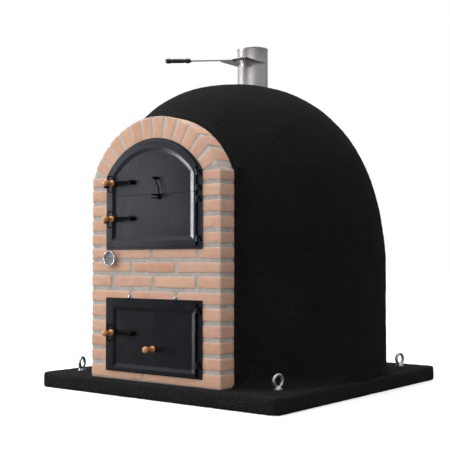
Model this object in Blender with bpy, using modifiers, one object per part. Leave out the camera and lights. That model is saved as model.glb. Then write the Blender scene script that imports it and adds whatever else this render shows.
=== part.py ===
"""Wood fired pizza oven: a black rendered masonry dome on a square lifting slab.

A brick front with an arched top carries two steel frames: the upper one holds a stable door
(two leaves, one above the other), the lower one a single door. A stainless flue with a sliding
damper stands on the dome, and a dial thermometer sits in the brick between the doors.

Metres, +Z up. The origin is the middle of the slab's underside, the doors face -Y.
"""
import math

import bmesh
import bpy
from mathutils import Matrix, Vector

# Driving dimensions
SLAB_HALF_X = 0.672
SLAB_HALF_Y = 0.685
SLAB_THICK = 0.070
SLAB_EDGE = 0.008
SLAB_CORNER = 0.030

FACE_Y = -0.647                # plane of the brick faces
FACADE_HALF = 0.370
FACADE_DEPTH = 0.125
FACADE_SPRING = 0.961          # height where the outer arch begins
FACADE_ARCH_Z = 0.811          # centre and radius of the outer arch
FACADE_ARCH_R = 0.393
COLLAR_WIDTH = 0.016           # render lapped round the brick front
COLLAR_FRONT = 0.0893          # its front edge, behind the brick faces

DOME_Y = 0.012                 # dome axis
DOME_R = 0.668
DOME_WALL_TOP = 0.594
DOME_CROWN = 1.4125
DOME_LEAN = -0.085             # forward shift of the crown
DOME_RISE = 2.29               # exponents of the crown's superellipse
DOME_BULGE = 2.35
RENDER_THICK = 0.030

HEARTH_SUPPORT = (0.530, 0.600)
HEARTH_TOP = 0.660
HEARTH_MARGIN = 0.016          # the dome's wall already leans beside the hearth
CHAMBER_WALL_R = 0.460         # inner radius of the wall round the lower chamber
VAULT_R = 0.500
VAULT_WALL_TOP = 0.760
VAULT_CROWN = 1.230
VAULT_THICK = 0.060

GAP = 0.0003                   # between touching pieces
CLEAR = 0.0005
MASONRY_STEPS = 32             # facets round the dome's hidden layers, equal so that they nest
VAULT_STEPS = 28

# Doors: heights and x positions across the front, depths are from the brick faces
RING_FRONT = -0.0030           # front of the frames' flat rings
LEAF_FRONT = -0.0105
LEAF_BACK = -0.0035
RECESS = 0.005
SPLIT_Z = 0.869                # between the upper door's two leaves
SPLIT_GAP = 0.0007
FRAME_HALF = 0.277
OPENING_HALF = 0.222
SLEEVE = 0.004                 # sheet thickness of the frames' sleeves
SLEEVE_DEPTH = 0.080
PLUG_INSET = 0.010             # leaf plate behind the sheet, inside the opening
PLUG_DEPTH = 0.020

UPPER_BOTTOM = 0.634
UPPER_ARCH_Z = 0.782
UPPER_ARCH_R = 0.328
LOWER_Z = (0.104, 0.424)

HINGE_X = 0.2555
HINGE_Y = -0.0105              # barrel axis, from the brick faces
BARREL_R = 0.0062
BARREL_LENGTH = 0.011
PIN_R = 0.0030
PIN_FIT = 0.0002

LATCH_X = -0.113               # lever pivot
LATCH_ZS = {"upper_leaf": 0.926, "lower_leaf": 0.769, "lower_door": 0.272}
LEVER_END_X = -0.272
LEVER_HALF = 0.008
BOSS_R = 0.0115
LEVER_Y = (-0.0185, -0.0135)
STAPLE_X = -0.245
STAPLE_RISE = (-0.036, 0.033)
STAPLE_R = 0.0025
LATCH_KNOB_X = -0.223
CATCH_X = (-0.2765, -0.2655)

HOOK_PIVOT = (0.026, 0.937)    # coupling hook between the leaves, x and z
HOOK_PEG = (0.044, 0.8635)
HOOK_Y = -0.0200
PULL_KNOB = (0.012, 0.213)

DIAL = (-0.243, 0.596)
DIAL_R = 0.0335

FLUE_Y = 0.073
FLUE_R = 0.0745
FLUE_WALL = 0.002
FLUE_Z = (1.2310, 1.626)
DAMPER_Z = 1.550
DAMPER_THICK = 0.003
DAMPER_HALF = 0.080
DAMPER_FRONT = 0.165           # plate front, ahead of the flue axis
ROD_R = 0.004
HANDLE_R = 0.0108
ROD_END = (-0.400, 1.487)      # y and z where the rod enters the handle
HANDLE_END = (-0.562, 1.457)

EYES = {
    "front_right": (0.540, -0.492),
    "front_left": (-0.560, -0.527),
    "back_right": (0.540, 0.553),
    "back_left": (-0.550, 0.553),
}
EYE_TURN = {"front_right": 0, "front_left": 20, "back_right": -25, "back_left": 10}
EYE_RING_R = 0.0245
EYE_BAR_R = 0.0070

# Finishes as base colour, roughness and metallic
FINISHES = {
    "black_render": ((0.020, 0.020, 0.022), 0.95, 0.0),
    "firebrick": ((0.640, 0.390, 0.270), 0.90, 0.0),
    "refractory": ((0.620, 0.560, 0.470), 0.95, 0.0),
    "insulation": ((0.750, 0.740, 0.700), 0.98, 0.0),
    "black_steel": ((0.060, 0.060, 0.072), 0.42, 0.6),
    "black_iron": ((0.012, 0.012, 0.013), 0.50, 0.5),
    "turned_wood": ((0.560, 0.270, 0.110), 0.45, 0.0),
    "stainless": ((0.640, 0.630, 0.610), 0.25, 1.0),
    "galvanised": ((0.720, 0.730, 0.740), 0.38, 1.0),
    "chrome": ((0.750, 0.750, 0.760), 0.12, 1.0),
    "dial_white": ((0.600, 0.610, 0.640), 0.60, 0.0),
    "clear_glass": ((0.850, 0.880, 0.880), 0.05, 0.0),
    "black_handle": ((0.015, 0.014, 0.014), 0.35, 0.0),
}

hinge_bores = {}                # pin bores to cut, by the name of the frame or leaf they go through


def clear_scene():
    for obj in list(bpy.data.objects):
        bpy.data.objects.remove(obj, do_unlink=True)


def collection(name):
    found = bpy.data.collections.get(name)
    if found is None:
        found = bpy.data.collections.new(name)
        bpy.context.scene.collection.children.link(found)
    return found


def material(name):
    found = bpy.data.materials.get(name)
    if found:
        return found
    color, roughness, metallic = FINISHES[name]
    made = bpy.data.materials.new(name)
    made.use_nodes = True
    shader = made.node_tree.nodes["Principled BSDF"]
    shader.inputs["Base Color"].default_value = (*color, 1.0)
    shader.inputs["Roughness"].default_value = roughness
    shader.inputs["Metallic"].default_value = metallic
    return made


def shape(mesh, name):
    """A new object in the cutters' collection, until finish() makes it a part."""
    obj = bpy.data.objects.new(name, mesh)
    obj.hide_render = True
    obj.display_type = "WIRE"
    collection("cutters").objects.link(obj)
    return obj


def finish(obj, finish_name, parent=None):
    """Moves a shape into the oven's collection as a finished part."""
    collection("cutters").objects.unlink(obj)
    collection("pizza_oven").objects.link(obj)
    obj.hide_render = False
    obj.display_type = "TEXTURED"
    obj.data.materials.clear()
    obj.data.materials.append(material(finish_name))
    if parent:
        obj.parent = parent
        obj.matrix_parent_inverse = parent.matrix_world.inverted()
    return obj


def from_bmesh(bm, name):
    bmesh.ops.recalc_face_normals(bm, faces=bm.faces)
    mesh = bpy.data.meshes.new(name)
    bm.to_mesh(mesh)
    bm.free()
    return shape(mesh, name)


def box(name, low, high):
    bm = bmesh.new()
    bmesh.ops.create_cube(bm, size=1.0)
    low, high = Vector(low), Vector(high)
    size = high - low
    bmesh.ops.scale(bm, vec=size, verts=bm.verts)
    bmesh.ops.translate(bm, vec=(low + high) / 2, verts=bm.verts)
    return from_bmesh(bm, name)


def rod(name, start, end, radius, sides=16):
    start, end = Vector(start), Vector(end)
    along = end - start
    bm = bmesh.new()
    bmesh.ops.create_cone(bm, cap_ends=True, segments=sides, radius1=radius, radius2=radius,
                          depth=along.length)
    turn = along.to_track_quat("Z", "Y").to_matrix().to_4x4()
    bmesh.ops.transform(bm, matrix=Matrix.Translation((start + end) / 2) @ turn, verts=bm.verts)
    return from_bmesh(bm, name)


def evaluated(obj, name):
    """Replaces an object by the mesh that its modifiers or its curve give."""
    graph = bpy.context.evaluated_depsgraph_get()
    graph.update()
    mesh = bpy.data.meshes.new_from_object(obj.evaluated_get(graph))
    mesh.transform(obj.matrix_world)
    bpy.data.objects.remove(obj, do_unlink=True)
    bm = bmesh.new()
    bm.from_mesh(mesh)
    bmesh.ops.remove_doubles(bm, verts=bm.verts, dist=0.00001)
    return from_bmesh(bm, name)


def turned(name, profile, place, steps):
    """Screw of a closed profile of (radius, height), top to bottom on its outer side."""
    bm = bmesh.new()
    points = [bm.verts.new((radius, 0.0, height)) for radius, height in profile]
    for first, second in zip(points, points[1:] + points[:1]):
        if first.co.x > 0 or second.co.x > 0:
            bm.edges.new((first, second))
    mesh = bpy.data.meshes.new(name)
    bm.to_mesh(mesh)
    bm.free()
    obj = shape(mesh, name)
    screw = obj.modifiers.new("turn", "SCREW")
    screw.steps = steps
    screw.render_steps = steps
    screw.use_merge_vertices = True
    screw.merge_threshold = 0.00001
    obj.matrix_world = place
    bpy.context.view_layer.update()
    return evaluated(obj, name)


def facing_front(x, depth, z):
    """Places a turned piece so that its own +Z points out of the brick front."""
    return Matrix.Translation((x, FACE_Y + depth, z)) @ Matrix.Rotation(math.radians(90), 4, "X")


def plate(name, outlines, front, back):
    """Flat piece parallel to the front. Outlines are x, z points: outer edge, then any hole."""
    curve = bpy.data.curves.new(name, "CURVE")
    curve.dimensions = "2D"
    curve.fill_mode = "BOTH"
    curve.extrude = (back - front) / 2
    for outline in outlines:
        spline = curve.splines.new("POLY")
        spline.points.add(len(outline) - 1)
        spline.use_cyclic_u = True
        for point, (x, z) in zip(spline.points, outline):
            point.co = (x, z, 0.0, 1.0)
    obj = bpy.data.objects.new(name, curve)
    collection("cutters").objects.link(obj)
    middle = FACE_Y + (front + back) / 2
    obj.matrix_world = Matrix.Translation((0, middle, 0)) @ Matrix.Rotation(math.radians(90), 4, "X")
    bpy.context.view_layer.update()
    return evaluated(obj, name)


def wire(name, points, radius):
    curve = bpy.data.curves.new(name, "CURVE")
    curve.dimensions = "3D"
    curve.bevel_depth = radius
    curve.bevel_resolution = 2
    curve.use_fill_caps = True
    spline = curve.splines.new("POLY")
    spline.points.add(len(points) - 1)
    for point, place in zip(spline.points, points):
        point.co = (*place, 1.0)
    obj = bpy.data.objects.new(name, curve)
    collection("cutters").objects.link(obj)
    bpy.context.view_layer.update()
    return evaluated(obj, name)


def cut(obj, tool, operation="DIFFERENCE"):
    boolean = obj.modifiers.new(operation.lower(), "BOOLEAN")
    boolean.operation = operation
    boolean.solver = "EXACT"
    boolean.object = tool
    return obj


def join(obj, *tools):
    for tool in tools:
        cut(obj, tool, "UNION")
    return obj


def arch(left, right, bottom, centre_z, radius, steps=16):
    """Outline with upright sides and a round head, anticlockwise from the bottom left."""
    first = math.acos(right / radius)
    last = math.acos(left / radius)
    turn = [first + (last - first) * step / steps for step in range(steps + 1)]
    head = [(radius * math.cos(a), centre_z + radius * math.sin(a)) for a in turn]
    return [(left, bottom), (right, bottom)] + head


def rectangle(left, right, bottom, top):
    return [(left, bottom), (right, bottom), (right, top), (left, top)]


def circle(x, z, radius, steps=12):
    turn = [2 * math.pi * step / steps for step in range(steps)]
    return [(x + radius * math.cos(a), z + radius * math.sin(a)) for a in turn]


def lever_outline(z):
    """Straight bar that ends in a round boss about the pivot."""
    first = math.pi - math.asin(LEVER_HALF / BOSS_R)
    turn = [-first + 2 * first * step / 16 for step in range(17)]
    boss = [(LATCH_X + BOSS_R * math.cos(a), z + BOSS_R * math.sin(a)) for a in turn]
    return [(LEVER_END_X, z + LEVER_HALF), (LEVER_END_X, z - LEVER_HALF)] + boss


def recess(name, rim, floor):
    """Cutter for a pressed panel: from the rim outline it slopes back to the floor outline."""
    levels = ((rim, LEAF_FRONT - 0.004), (rim, LEAF_FRONT), (floor, LEAF_FRONT + RECESS))
    bm = bmesh.new()
    loops = []
    for outline, depth in levels:
        ring = [bm.verts.new((x, FACE_Y + depth, z)) for x, z in outline]
        loops.append([bm.edges.new(pair) for pair in zip(ring, ring[1:] + ring[:1])])
    for near, far in zip(loops, loops[1:]):
        bmesh.ops.bridge_loops(bm, edges=near + far)
    bmesh.ops.contextual_create(bm, geom=loops[0])
    bmesh.ops.contextual_create(bm, geom=loops[-1])
    return from_bmesh(bm, name)


def dome(name, radius, wall_top, crown, base, steps, rings):
    """Solid dome: an upright wall, then a superellipse whose crown leans to the front."""
    profile = [(0.0, crown)]
    for ring in range(1, rings + 1):
        share = math.cos(math.pi / 2 * ring / rings)
        swell = max(0.0, 1 - share ** DOME_RISE) ** (1 / DOME_BULGE)
        profile.append((radius * swell, wall_top + (crown - wall_top) * share))
    profile += [(radius, base), (0.0, base)]
    obj = turned(name, profile, Matrix.Translation((0, DOME_Y, 0)), steps)
    for vert in obj.data.vertices:
        lean = max(0.0, (vert.co.z - DOME_WALL_TOP) / (DOME_CROWN - DOME_WALL_TOP))
        vert.co.y += DOME_LEAN * lean
    return obj


def arc_above(height, centre_z, radius, steps=18):
    """The part of a circle above a height, from right to left."""
    first = math.asin((height - centre_z) / radius)
    turn = [first + (math.pi - 2 * first) * step / steps for step in range(steps + 1)]
    return [(radius * math.cos(a), centre_z + radius * math.sin(a)) for a in turn]


def facade_outline(margin=0.0, bottom=SLAB_THICK):
    side, shoulder = FACADE_HALF + margin, FACADE_SPRING + margin
    head = arc_above(shoulder, FACADE_ARCH_Z, FACADE_ARCH_R + margin)
    return [(-side, bottom), (side, bottom), (side, shoulder)] + head + [(-side, shoulder)]


def upper_opening(margin=0.0):
    side = OPENING_HALF + margin
    return arch(-side, side, 0.682 - margin, 0.775, 0.277 + margin)


def lower_opening(margin=0.0):
    return rectangle(-0.214 - margin, 0.230 + margin, 0.148 - margin, 0.366 + margin)


def base_slab():
    slab = box("base_slab", (-SLAB_HALF_X, -SLAB_HALF_Y, 0), (SLAB_HALF_X, SLAB_HALF_Y, SLAB_THICK))
    bm = bmesh.new()
    bm.from_mesh(slab.data)
    upright = [e for e in bm.edges if abs(e.verts[0].co.z - e.verts[1].co.z) > 0.01]
    bmesh.ops.bevel(bm, geom=upright, offset=SLAB_CORNER, segments=4, profile=0.5, affect="EDGES")
    top = [e for e in bm.edges if min(v.co.z for v in e.verts) > SLAB_THICK - 0.001]
    bmesh.ops.bevel(bm, geom=top, offset=SLAB_EDGE, segments=2, profile=0.5, affect="EDGES")
    bm.to_mesh(slab.data)
    bm.free()
    for key, (x, y) in EYES.items():
        hole = rod("eye_hole_" + key, (x, y, 0.030), (x, y, 0.090), 0.0085, 12)
        cut(slab, hole)
    return finish(slab, "black_render")


def lifting_eyes():
    base = SLAB_THICK + GAP
    centre = base + 0.0355
    for key, (x, y) in EYES.items():
        turn = Matrix.Rotation(math.radians(EYE_TURN[key]), 4, "Z")
        section = [(EYE_RING_R + EYE_BAR_R * math.cos(a), EYE_BAR_R * math.sin(a))
                  for a in (-2 * math.pi * n / 8 for n in range(8))]
        lie = Matrix.Translation((x, y, centre)) @ turn @ Matrix.Rotation(math.radians(90), 4, "X")
        ring = turned("lifting_eye_" + key, section, lie, 18)
        shank = [(0.0, base + 0.016), (0.010, base + 0.016), (0.0135, base + 0.007),
                 (0.0175, base + 0.006), (0.0175, base), (0.0080, base), (0.0080, 0.036),
                 (0.0, 0.036)]
        collar = turned("collar_" + key, shank, Matrix.Translation((x, y, 0)), 12)
        join(ring, collar)
        finish(ring, "galvanised")


def shared_cutters():
    """Shapes that several masonry pieces are cut with."""
    front = -0.100
    behind = FACADE_DEPTH + CLEAR
    return {
        "facade": plate("facade_room", [facade_outline(CLEAR, -0.01)], front, behind),
        "flue": rod("flue_room", (0, FLUE_Y, 1.10), (0, FLUE_Y, 1.60), FLUE_R + CLEAR, 32),
        "upper_way": plate("upper_way", [upper_opening(-0.001)], front, 0.420),
        "lower_way": plate("lower_way", [lower_opening(-0.001)], front, 0.420),
    }


def lower_masonry(cutters):
    wall_r = DOME_R - RENDER_THICK - CLEAR
    low, high = HEARTH_SUPPORT
    ring = [(wall_r, low - GAP), (wall_r, SLAB_THICK + GAP),
            (CHAMBER_WALL_R, SLAB_THICK + GAP), (CHAMBER_WALL_R, low - GAP)]
    wall = turned("chamber_wall", ring, Matrix.Translation((0, DOME_Y, 0)), MASONRY_STEPS)
    cut(wall, cutters["facade"])
    cut(wall, cutters["lower_way"])
    finish(wall, "refractory")
    for name, bottom, top, radius in (("hearth_support", low, high - 0.010, wall_r),
                                      ("hearth_floor", high - 0.010 + GAP, HEARTH_TOP,
                                       wall_r - HEARTH_MARGIN)):
        disc = rod(name, (0, DOME_Y, bottom), (0, DOME_Y, top), radius, MASONRY_STEPS)
        cut(disc, cutters["facade"])
        finish(disc, "refractory")


def oven_vault(cutters):
    base = HEARTH_TOP + GAP
    vault = dome("oven_vault", VAULT_R, VAULT_WALL_TOP, VAULT_CROWN, base, VAULT_STEPS, 5)
    hollow = dome("vault_hollow", VAULT_R - VAULT_THICK, VAULT_WALL_TOP,
                  VAULT_CROWN - VAULT_THICK, base - 0.010, VAULT_STEPS, 5)
    throat = rod("flue_throat", (0, FLUE_Y, 1.05), (0, FLUE_Y, 1.40), FLUE_R - 0.006, 24)
    cut(vault, hollow)
    cut(vault, throat)
    cut(vault, cutters["upper_way"])
    finish(vault, "refractory")


def dome_shell(cutters):
    inner_r = DOME_R - RENDER_THICK
    inner_crown = DOME_CROWN - RENDER_THICK
    packing = dome("dome_insulation", inner_r - CLEAR, DOME_WALL_TOP, inner_crown - CLEAR,
                   DOME_WALL_TOP - 0.020, MASONRY_STEPS, 6)
    below = box("below_hearth", (-1, -1, 0), (1, 1, HEARTH_TOP + GAP))
    cut(packing, below)
    vault_room = dome("vault_room", VAULT_R + CLEAR, VAULT_WALL_TOP, VAULT_CROWN + CLEAR,
                      HEARTH_TOP - 0.010, VAULT_STEPS, 5)
    cut(packing, vault_room)
    cut(packing, cutters["facade"])
    cut(packing, cutters["flue"])
    cut(packing, cutters["upper_way"])
    finish(packing, "insulation")

    base = SLAB_THICK + GAP
    shell = dome("dome_render", DOME_R, DOME_WALL_TOP, DOME_CROWN, base, 48, 8)
    collar = plate("collar", [facade_outline(COLLAR_WIDTH, base)], COLLAR_FRONT, 0.260)
    inside = dome("dome_inside", inner_r, DOME_WALL_TOP, inner_crown, base - 0.010, MASONRY_STEPS, 6)
    join(shell, collar)
    cut(shell, inside)
    cut(shell, cutters["facade"])
    cut(shell, cutters["flue"])
    finish(shell, "black_render")


def facade():
    floor = SLAB_THICK + GAP
    lower_top, upper_base = 0.4000, 0.6490
    inner = OPENING_HALF + 0.0095
    blocks = {
        "facade_sill": rectangle(-inner + GAP, inner - GAP, floor, 0.1410),
        "facade_lower_pier_left": rectangle(-FACADE_HALF, -inner, floor, lower_top - GAP),
        "facade_lower_pier_right": rectangle(inner + 0.006, FACADE_HALF, floor, lower_top - GAP),
        "facade_upper_pier_left": rectangle(-FACADE_HALF, -inner, upper_base, FACADE_SPRING),
        "facade_upper_pier_right": rectangle(inner, FACADE_HALF, upper_base, FACADE_SPRING),
    }
    for name, outline in blocks.items():
        finish(plate(name, [outline], 0.0, FACADE_DEPTH), "firebrick")
    middle = rectangle(-FACADE_HALF, FACADE_HALF, lower_top, upper_base - GAP)
    wall = plate("facade_middle_wall", [middle], 0.0, FACADE_DEPTH)
    x, z = DIAL
    cut(wall, rod("probe_room", (x, FACE_Y - 0.01, z), (x, FACE_Y + 0.095, z), 0.0050, 12))
    finish(wall, "firebrick")
    spring = FACADE_SPRING + GAP
    outer = arc_above(spring, FACADE_ARCH_Z, FACADE_ARCH_R)
    inner_arc = arc_above(spring, 0.775, OPENING_HALF + 0.0645)
    ring = outer + inner_arc[::-1]
    finish(plate("facade_arch", [ring], 0.0, FACADE_DEPTH), "firebrick")


def hinge(name, z, leaf, frame, hinge_x, leaf_edge):
    """Barrel on the frame below, barrel on the leaf above, and the pin through both."""
    axis_y = FACE_Y + HINGE_Y
    low = (hinge_x, axis_y, z - BARREL_LENGTH)
    middle = (hinge_x, axis_y, z)
    high = (hinge_x, axis_y, z + BARREL_LENGTH)
    bore = rod(name + "_bore", (hinge_x, axis_y, z - 0.020), (hinge_x, axis_y, z + 0.020),
               PIN_R + PIN_FIT, 12)
    fixed = rod(name + "_fixed", low, (*middle[:2], z - GAP), BARREL_R, 12)
    strap = box(name + "_strap", (hinge_x + 0.004, axis_y - 0.001, z - BARREL_LENGTH),
                (hinge_x + 0.013, FACE_Y + RING_FRONT + 0.001, z - GAP))
    moving = rod(name + "_moving", (*middle[:2], z + GAP), high, BARREL_R, 12)
    tab = box(name + "_tab", (leaf_edge - 0.003, axis_y + 0.001, z + GAP),
              (hinge_x - 0.004, axis_y + 0.005, z + BARREL_LENGTH))
    join(frame, fixed, strap)
    join(leaf, moving, tab)
    hinge_bores.setdefault(frame.name, []).append(bore)
    hinge_bores.setdefault(leaf.name, []).append(bore)
    cap = [(0.0, z + BARREL_LENGTH + 0.0035), (0.0035, z + BARREL_LENGTH + 0.0028),
           (0.0045, z + BARREL_LENGTH + GAP), (PIN_R, z + BARREL_LENGTH + GAP),
           (PIN_R, z - BARREL_LENGTH), (0.0, z - BARREL_LENGTH)]
    pin = turned(name + "_pin", cap, Matrix.Translation((hinge_x, axis_y, 0)), 12)
    finish(pin, "black_iron")


def bore_hinges(obj):
    for bore in hinge_bores[obj.name]:
        cut(obj, bore)


def frame(name, outer, opening):
    """Flat ring on the brick face, with a sleeve that lines the opening."""
    ring = plate(name, [outer, opening(0.0)], RING_FRONT, -GAP)
    sleeve = plate(name + "_sleeve", [opening(SLEEVE), opening(0.0)], RING_FRONT + 0.001,
                   SLEEVE_DEPTH)
    return join(ring, sleeve)


def pivot_empty(name, place):
    empty = bpy.data.objects.new(name, None)
    collection("pizza_oven").objects.link(empty)
    empty.location = place
    bpy.context.view_layer.update()
    return empty


def leaf(name, outline, plug, pocket, latch_z):
    sheet = plate(name, [outline], LEAF_FRONT, LEAF_BACK)
    join(sheet, plate(name + "_plug", [plug], LEAF_BACK - 0.001, PLUG_DEPTH))
    cut(sheet, pocket)
    hole = rod(name + "_latch_hole", (LATCH_X, FACE_Y - 0.02, latch_z),
               (LATCH_X, FACE_Y + 0.008, latch_z), 0.0043, 12)
    return cut(sheet, hole)


def upper_door():
    outer = arch(-FRAME_HALF, FRAME_HALF, UPPER_BOTTOM, UPPER_ARCH_Z, UPPER_ARCH_R)
    ring = frame("upper_frame", outer, upper_opening)
    leaf_edge = 0.2475
    rim = arch(-0.235, 0.239, 0.672, 0.781, 0.292)
    floor = arch(-0.213, 0.2145, 0.687, 0.769, 0.283)
    pocket = recess("upper_pocket", rim, floor)
    plug_side = OPENING_HALF - PLUG_INSET
    high = leaf("upper_leaf", arch(-0.262, leaf_edge, SPLIT_Z + SPLIT_GAP, 0.782, 0.318),
                arch(-plug_side, plug_side, SPLIT_Z + SPLIT_GAP, 0.775, 0.267),
                pocket, LATCH_ZS["upper_leaf"])
    low = leaf("lower_leaf", rectangle(-0.262, leaf_edge, 0.645, SPLIT_Z - SPLIT_GAP),
               rectangle(-plug_side, plug_side, 0.692, SPLIT_Z - SPLIT_GAP),
               pocket, LATCH_ZS["lower_leaf"])
    for name, z, part in (("upper_leaf_hinge_top", 0.947, high), ("upper_leaf_hinge_base", 0.884, high),
                          ("lower_leaf_hinge_top", 0.838, low), ("lower_leaf_hinge_base", 0.676, low)):
        hinge(name, z, part, ring, HINGE_X, leaf_edge)
    bore_hinges(ring)
    peg_x, peg_z = HOOK_PEG
    for part, (x, z) in ((high, HOOK_PIVOT), (low, (peg_x, peg_z - 0.010))):
        cut(part, rod(part.name + "_stud_hole", (x, FACE_Y - 0.02, z), (x, FACE_Y + 0.008, z),
                      0.0033, 12))
    for part in (high, low):
        bore_hinges(part)
    swing_high = pivot_empty("upper_leaf_axis", (HINGE_X, FACE_Y + HINGE_Y, 0.916))
    swing_low = pivot_empty("lower_leaf_axis", (HINGE_X, FACE_Y + HINGE_Y, 0.757))
    finish(ring, "black_steel")
    finish(high, "black_steel", swing_high)
    finish(low, "black_steel", swing_low)
    return swing_high, swing_low


def lower_door():
    outer = rectangle(-FRAME_HALF, FRAME_HALF, *LOWER_Z)
    ring = frame("lower_frame", outer, lower_opening)
    hinge_x, leaf_edge = 0.2560, 0.2485
    pocket = recess("lower_pocket", rectangle(-0.226, 0.244, 0.122, 0.3865),
                    rectangle(-0.2075, 0.2245, 0.141, 0.3685))
    door = leaf("lower_door", rectangle(-0.258, leaf_edge, 0.109, 0.411),
                rectangle(-0.204, 0.220, 0.158, 0.356), pocket, LATCH_ZS["lower_door"])
    for name, z in (("lower_door_hinge_top", 0.382), ("lower_door_hinge_base", 0.159)):
        hinge(name, z, door, ring, hinge_x, leaf_edge)
    x, z = PULL_KNOB
    cut(door, rod("pull_hole", (x, FACE_Y - 0.02, z), (x, FACE_Y + 0.008, z), 0.0033, 12))
    bore_hinges(ring)
    bore_hinges(door)
    swing = pivot_empty("lower_door_axis", (hinge_x, FACE_Y + HINGE_Y, 0.27))
    finish(ring, "black_steel")
    finish(door, "black_steel", swing)
    for side, x in (("left", -0.135), ("right", 0.131)):
        nub = rod("frame_fixing_" + side, (x, FACE_Y - 0.006, LOWER_Z[1] + 0.0065),
                  (x, FACE_Y - GAP, LOWER_Z[1] + 0.0065), 0.006, 10)
        finish(nub, "black_iron")
    return swing


def latch(key, swing):
    """Thumb latch: lever on a shouldered bolt, wooden knob, guide staple and the frame's catch."""
    z = LATCH_ZS[key]
    y_front, y_back = LEVER_Y
    pivot = pivot_empty(key + "_latch_axis", (LATCH_X, FACE_Y + y_front, z))
    pivot.parent = swing
    pivot.matrix_parent_inverse = swing.matrix_world.inverted()
    bpy.context.view_layer.update()
    lever = plate(key + "_latch_lever", [lever_outline(z), circle(LATCH_X, z, 0.0045),
                                         circle(LATCH_KNOB_X, z, 0.0033)], y_front, y_back)
    finish(lever, "black_iron", pivot)

    bolt = [(0.0, 0.0265), (0.0070, 0.0260), (0.0090, 0.0245), (0.0090, -y_front + GAP),
            (0.0040, -y_front + GAP), (0.0040, -y_back - GAP), (0.0070, -y_back - GAP),
            (0.0070, 0.0058), (0.0040, 0.0058), (0.0040, -0.006), (0.0, -0.006)]
    finish(turned(key + "_latch_bolt", bolt, facing_front(LATCH_X, 0.0, z), 12), "black_iron", swing)

    finish(wooden_knob(key + "_latch_knob", LATCH_KNOB_X, z, y_front - GAP, 0.054), "turned_wood", pivot)

    low, high = z + STAPLE_RISE[0], z + STAPLE_RISE[1]
    foot, reach = FACE_Y + LEAF_FRONT - GAP, FACE_Y - 0.0250
    corner = 0.005
    route = [(STAPLE_X, foot, low), (STAPLE_X, reach + corner, low), (STAPLE_X, reach, low + corner),
             (STAPLE_X, reach, high - corner), (STAPLE_X, reach + corner, high), (STAPLE_X, foot, high)]
    finish(wire(key + "_latch_staple", route, STAPLE_R), "black_iron", swing)

    catch_top = z - LEVER_HALF - 0.0004
    catch = box(key + "_latch_catch", (CATCH_X[0], FACE_Y - 0.0200, catch_top - 0.010),
                (CATCH_X[1], FACE_Y + RING_FRONT - GAP, catch_top))
    finish(catch, "black_iron")


def wooden_knob(name, x, z, depth, length):
    """Turned knob with a foot, a waist and a full head, on a short screw."""
    reach = length
    profile = [(0.0, reach), (0.0100, reach - 0.0015), (0.0145, reach - 0.0085),
               (0.0135, reach - 0.0180), (0.0080, reach - 0.0290), (0.0085, 0.0125),
               (0.0140, 0.0070), (0.0140, 0.0), (0.0030, 0.0), (0.0030, -0.0045), (0.0, -0.0045)]
    return turned(name, profile, facing_front(x, depth, z), 12)


def pull_knob(swing):
    x, z = PULL_KNOB
    knob = wooden_knob("lower_door_pull_knob", x, z, LEAF_FRONT + RECESS - GAP, 0.060)
    finish(knob, "turned_wood", swing)


def coupling(swing_high, swing_low):
    """Hook on the upper leaf that drops round a peg on the lower leaf and ties them together."""
    pivot_x, pivot_z = HOOK_PIVOT
    y = FACE_Y + HOOK_Y
    empty = pivot_empty("coupling_hook_axis", (pivot_x, y, pivot_z))
    empty.parent = swing_high
    empty.matrix_parent_inverse = swing_high.matrix_world.inverted()
    bpy.context.view_layer.update()
    peg_x, peg_z = HOOK_PEG
    bend_z, bend_r = peg_z - 0.0005, 0.0105
    under = [(peg_x + bend_r * math.cos(a), y, bend_z + bend_r * math.sin(a))
             for a in (math.radians(-15 - 25 * n) for n in range(5))]
    route = [(pivot_x, y, pivot_z), (pivot_x + 0.010, y, 0.925), (pivot_x + 0.019, y, 0.905),
             (pivot_x + 0.026, y, 0.885)] + under + [(0.022, y, 0.851), (0.010, y, 0.853)]
    hook = wire("coupling_hook", route, 0.0028)
    eye = rod("hook_eye", (pivot_x, y + 0.003, pivot_z), (pivot_x, y - 0.003, pivot_z), 0.0075, 14)
    eye_bore = rod("hook_bore", (pivot_x, y + 0.02, pivot_z), (pivot_x, y - 0.02, pivot_z), 0.0033, 12)
    join(hook, eye)
    cut(hook, eye_bore)
    finish(hook, "black_iron", empty)
    front = -HOOK_Y
    stud = [(0.0, front + 0.0075), (0.0055, front + 0.0065), (0.0060, front + 0.0033),
            (0.0030, front + 0.0033), (0.0030, front - 0.0033), (0.0055, front - 0.0033),
            (0.0055, 0.0058), (0.0030, 0.0058), (0.0030, -0.006), (0.0, -0.006)]
    finish(turned("coupling_pivot_stud", stud, facing_front(pivot_x, 0.0, pivot_z), 12),
           "black_iron", swing_high)
    peg = rod("coupling_peg", (peg_x, FACE_Y - 0.052, peg_z), (peg_x, FACE_Y - 0.007, peg_z), 0.0040, 12)
    lug = box("peg_lug", (peg_x - 0.006, FACE_Y - 0.009, peg_z - 0.018),
              (peg_x + 0.006, FACE_Y - 0.0058, peg_z + 0.004))
    screw = rod("peg_screw", (peg_x, FACE_Y - 0.008, peg_z - 0.010), (peg_x, FACE_Y + 0.006, peg_z - 0.010),
                0.0030, 12)
    join(peg, lug, screw)
    finish(peg, "black_iron", swing_low)


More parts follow.
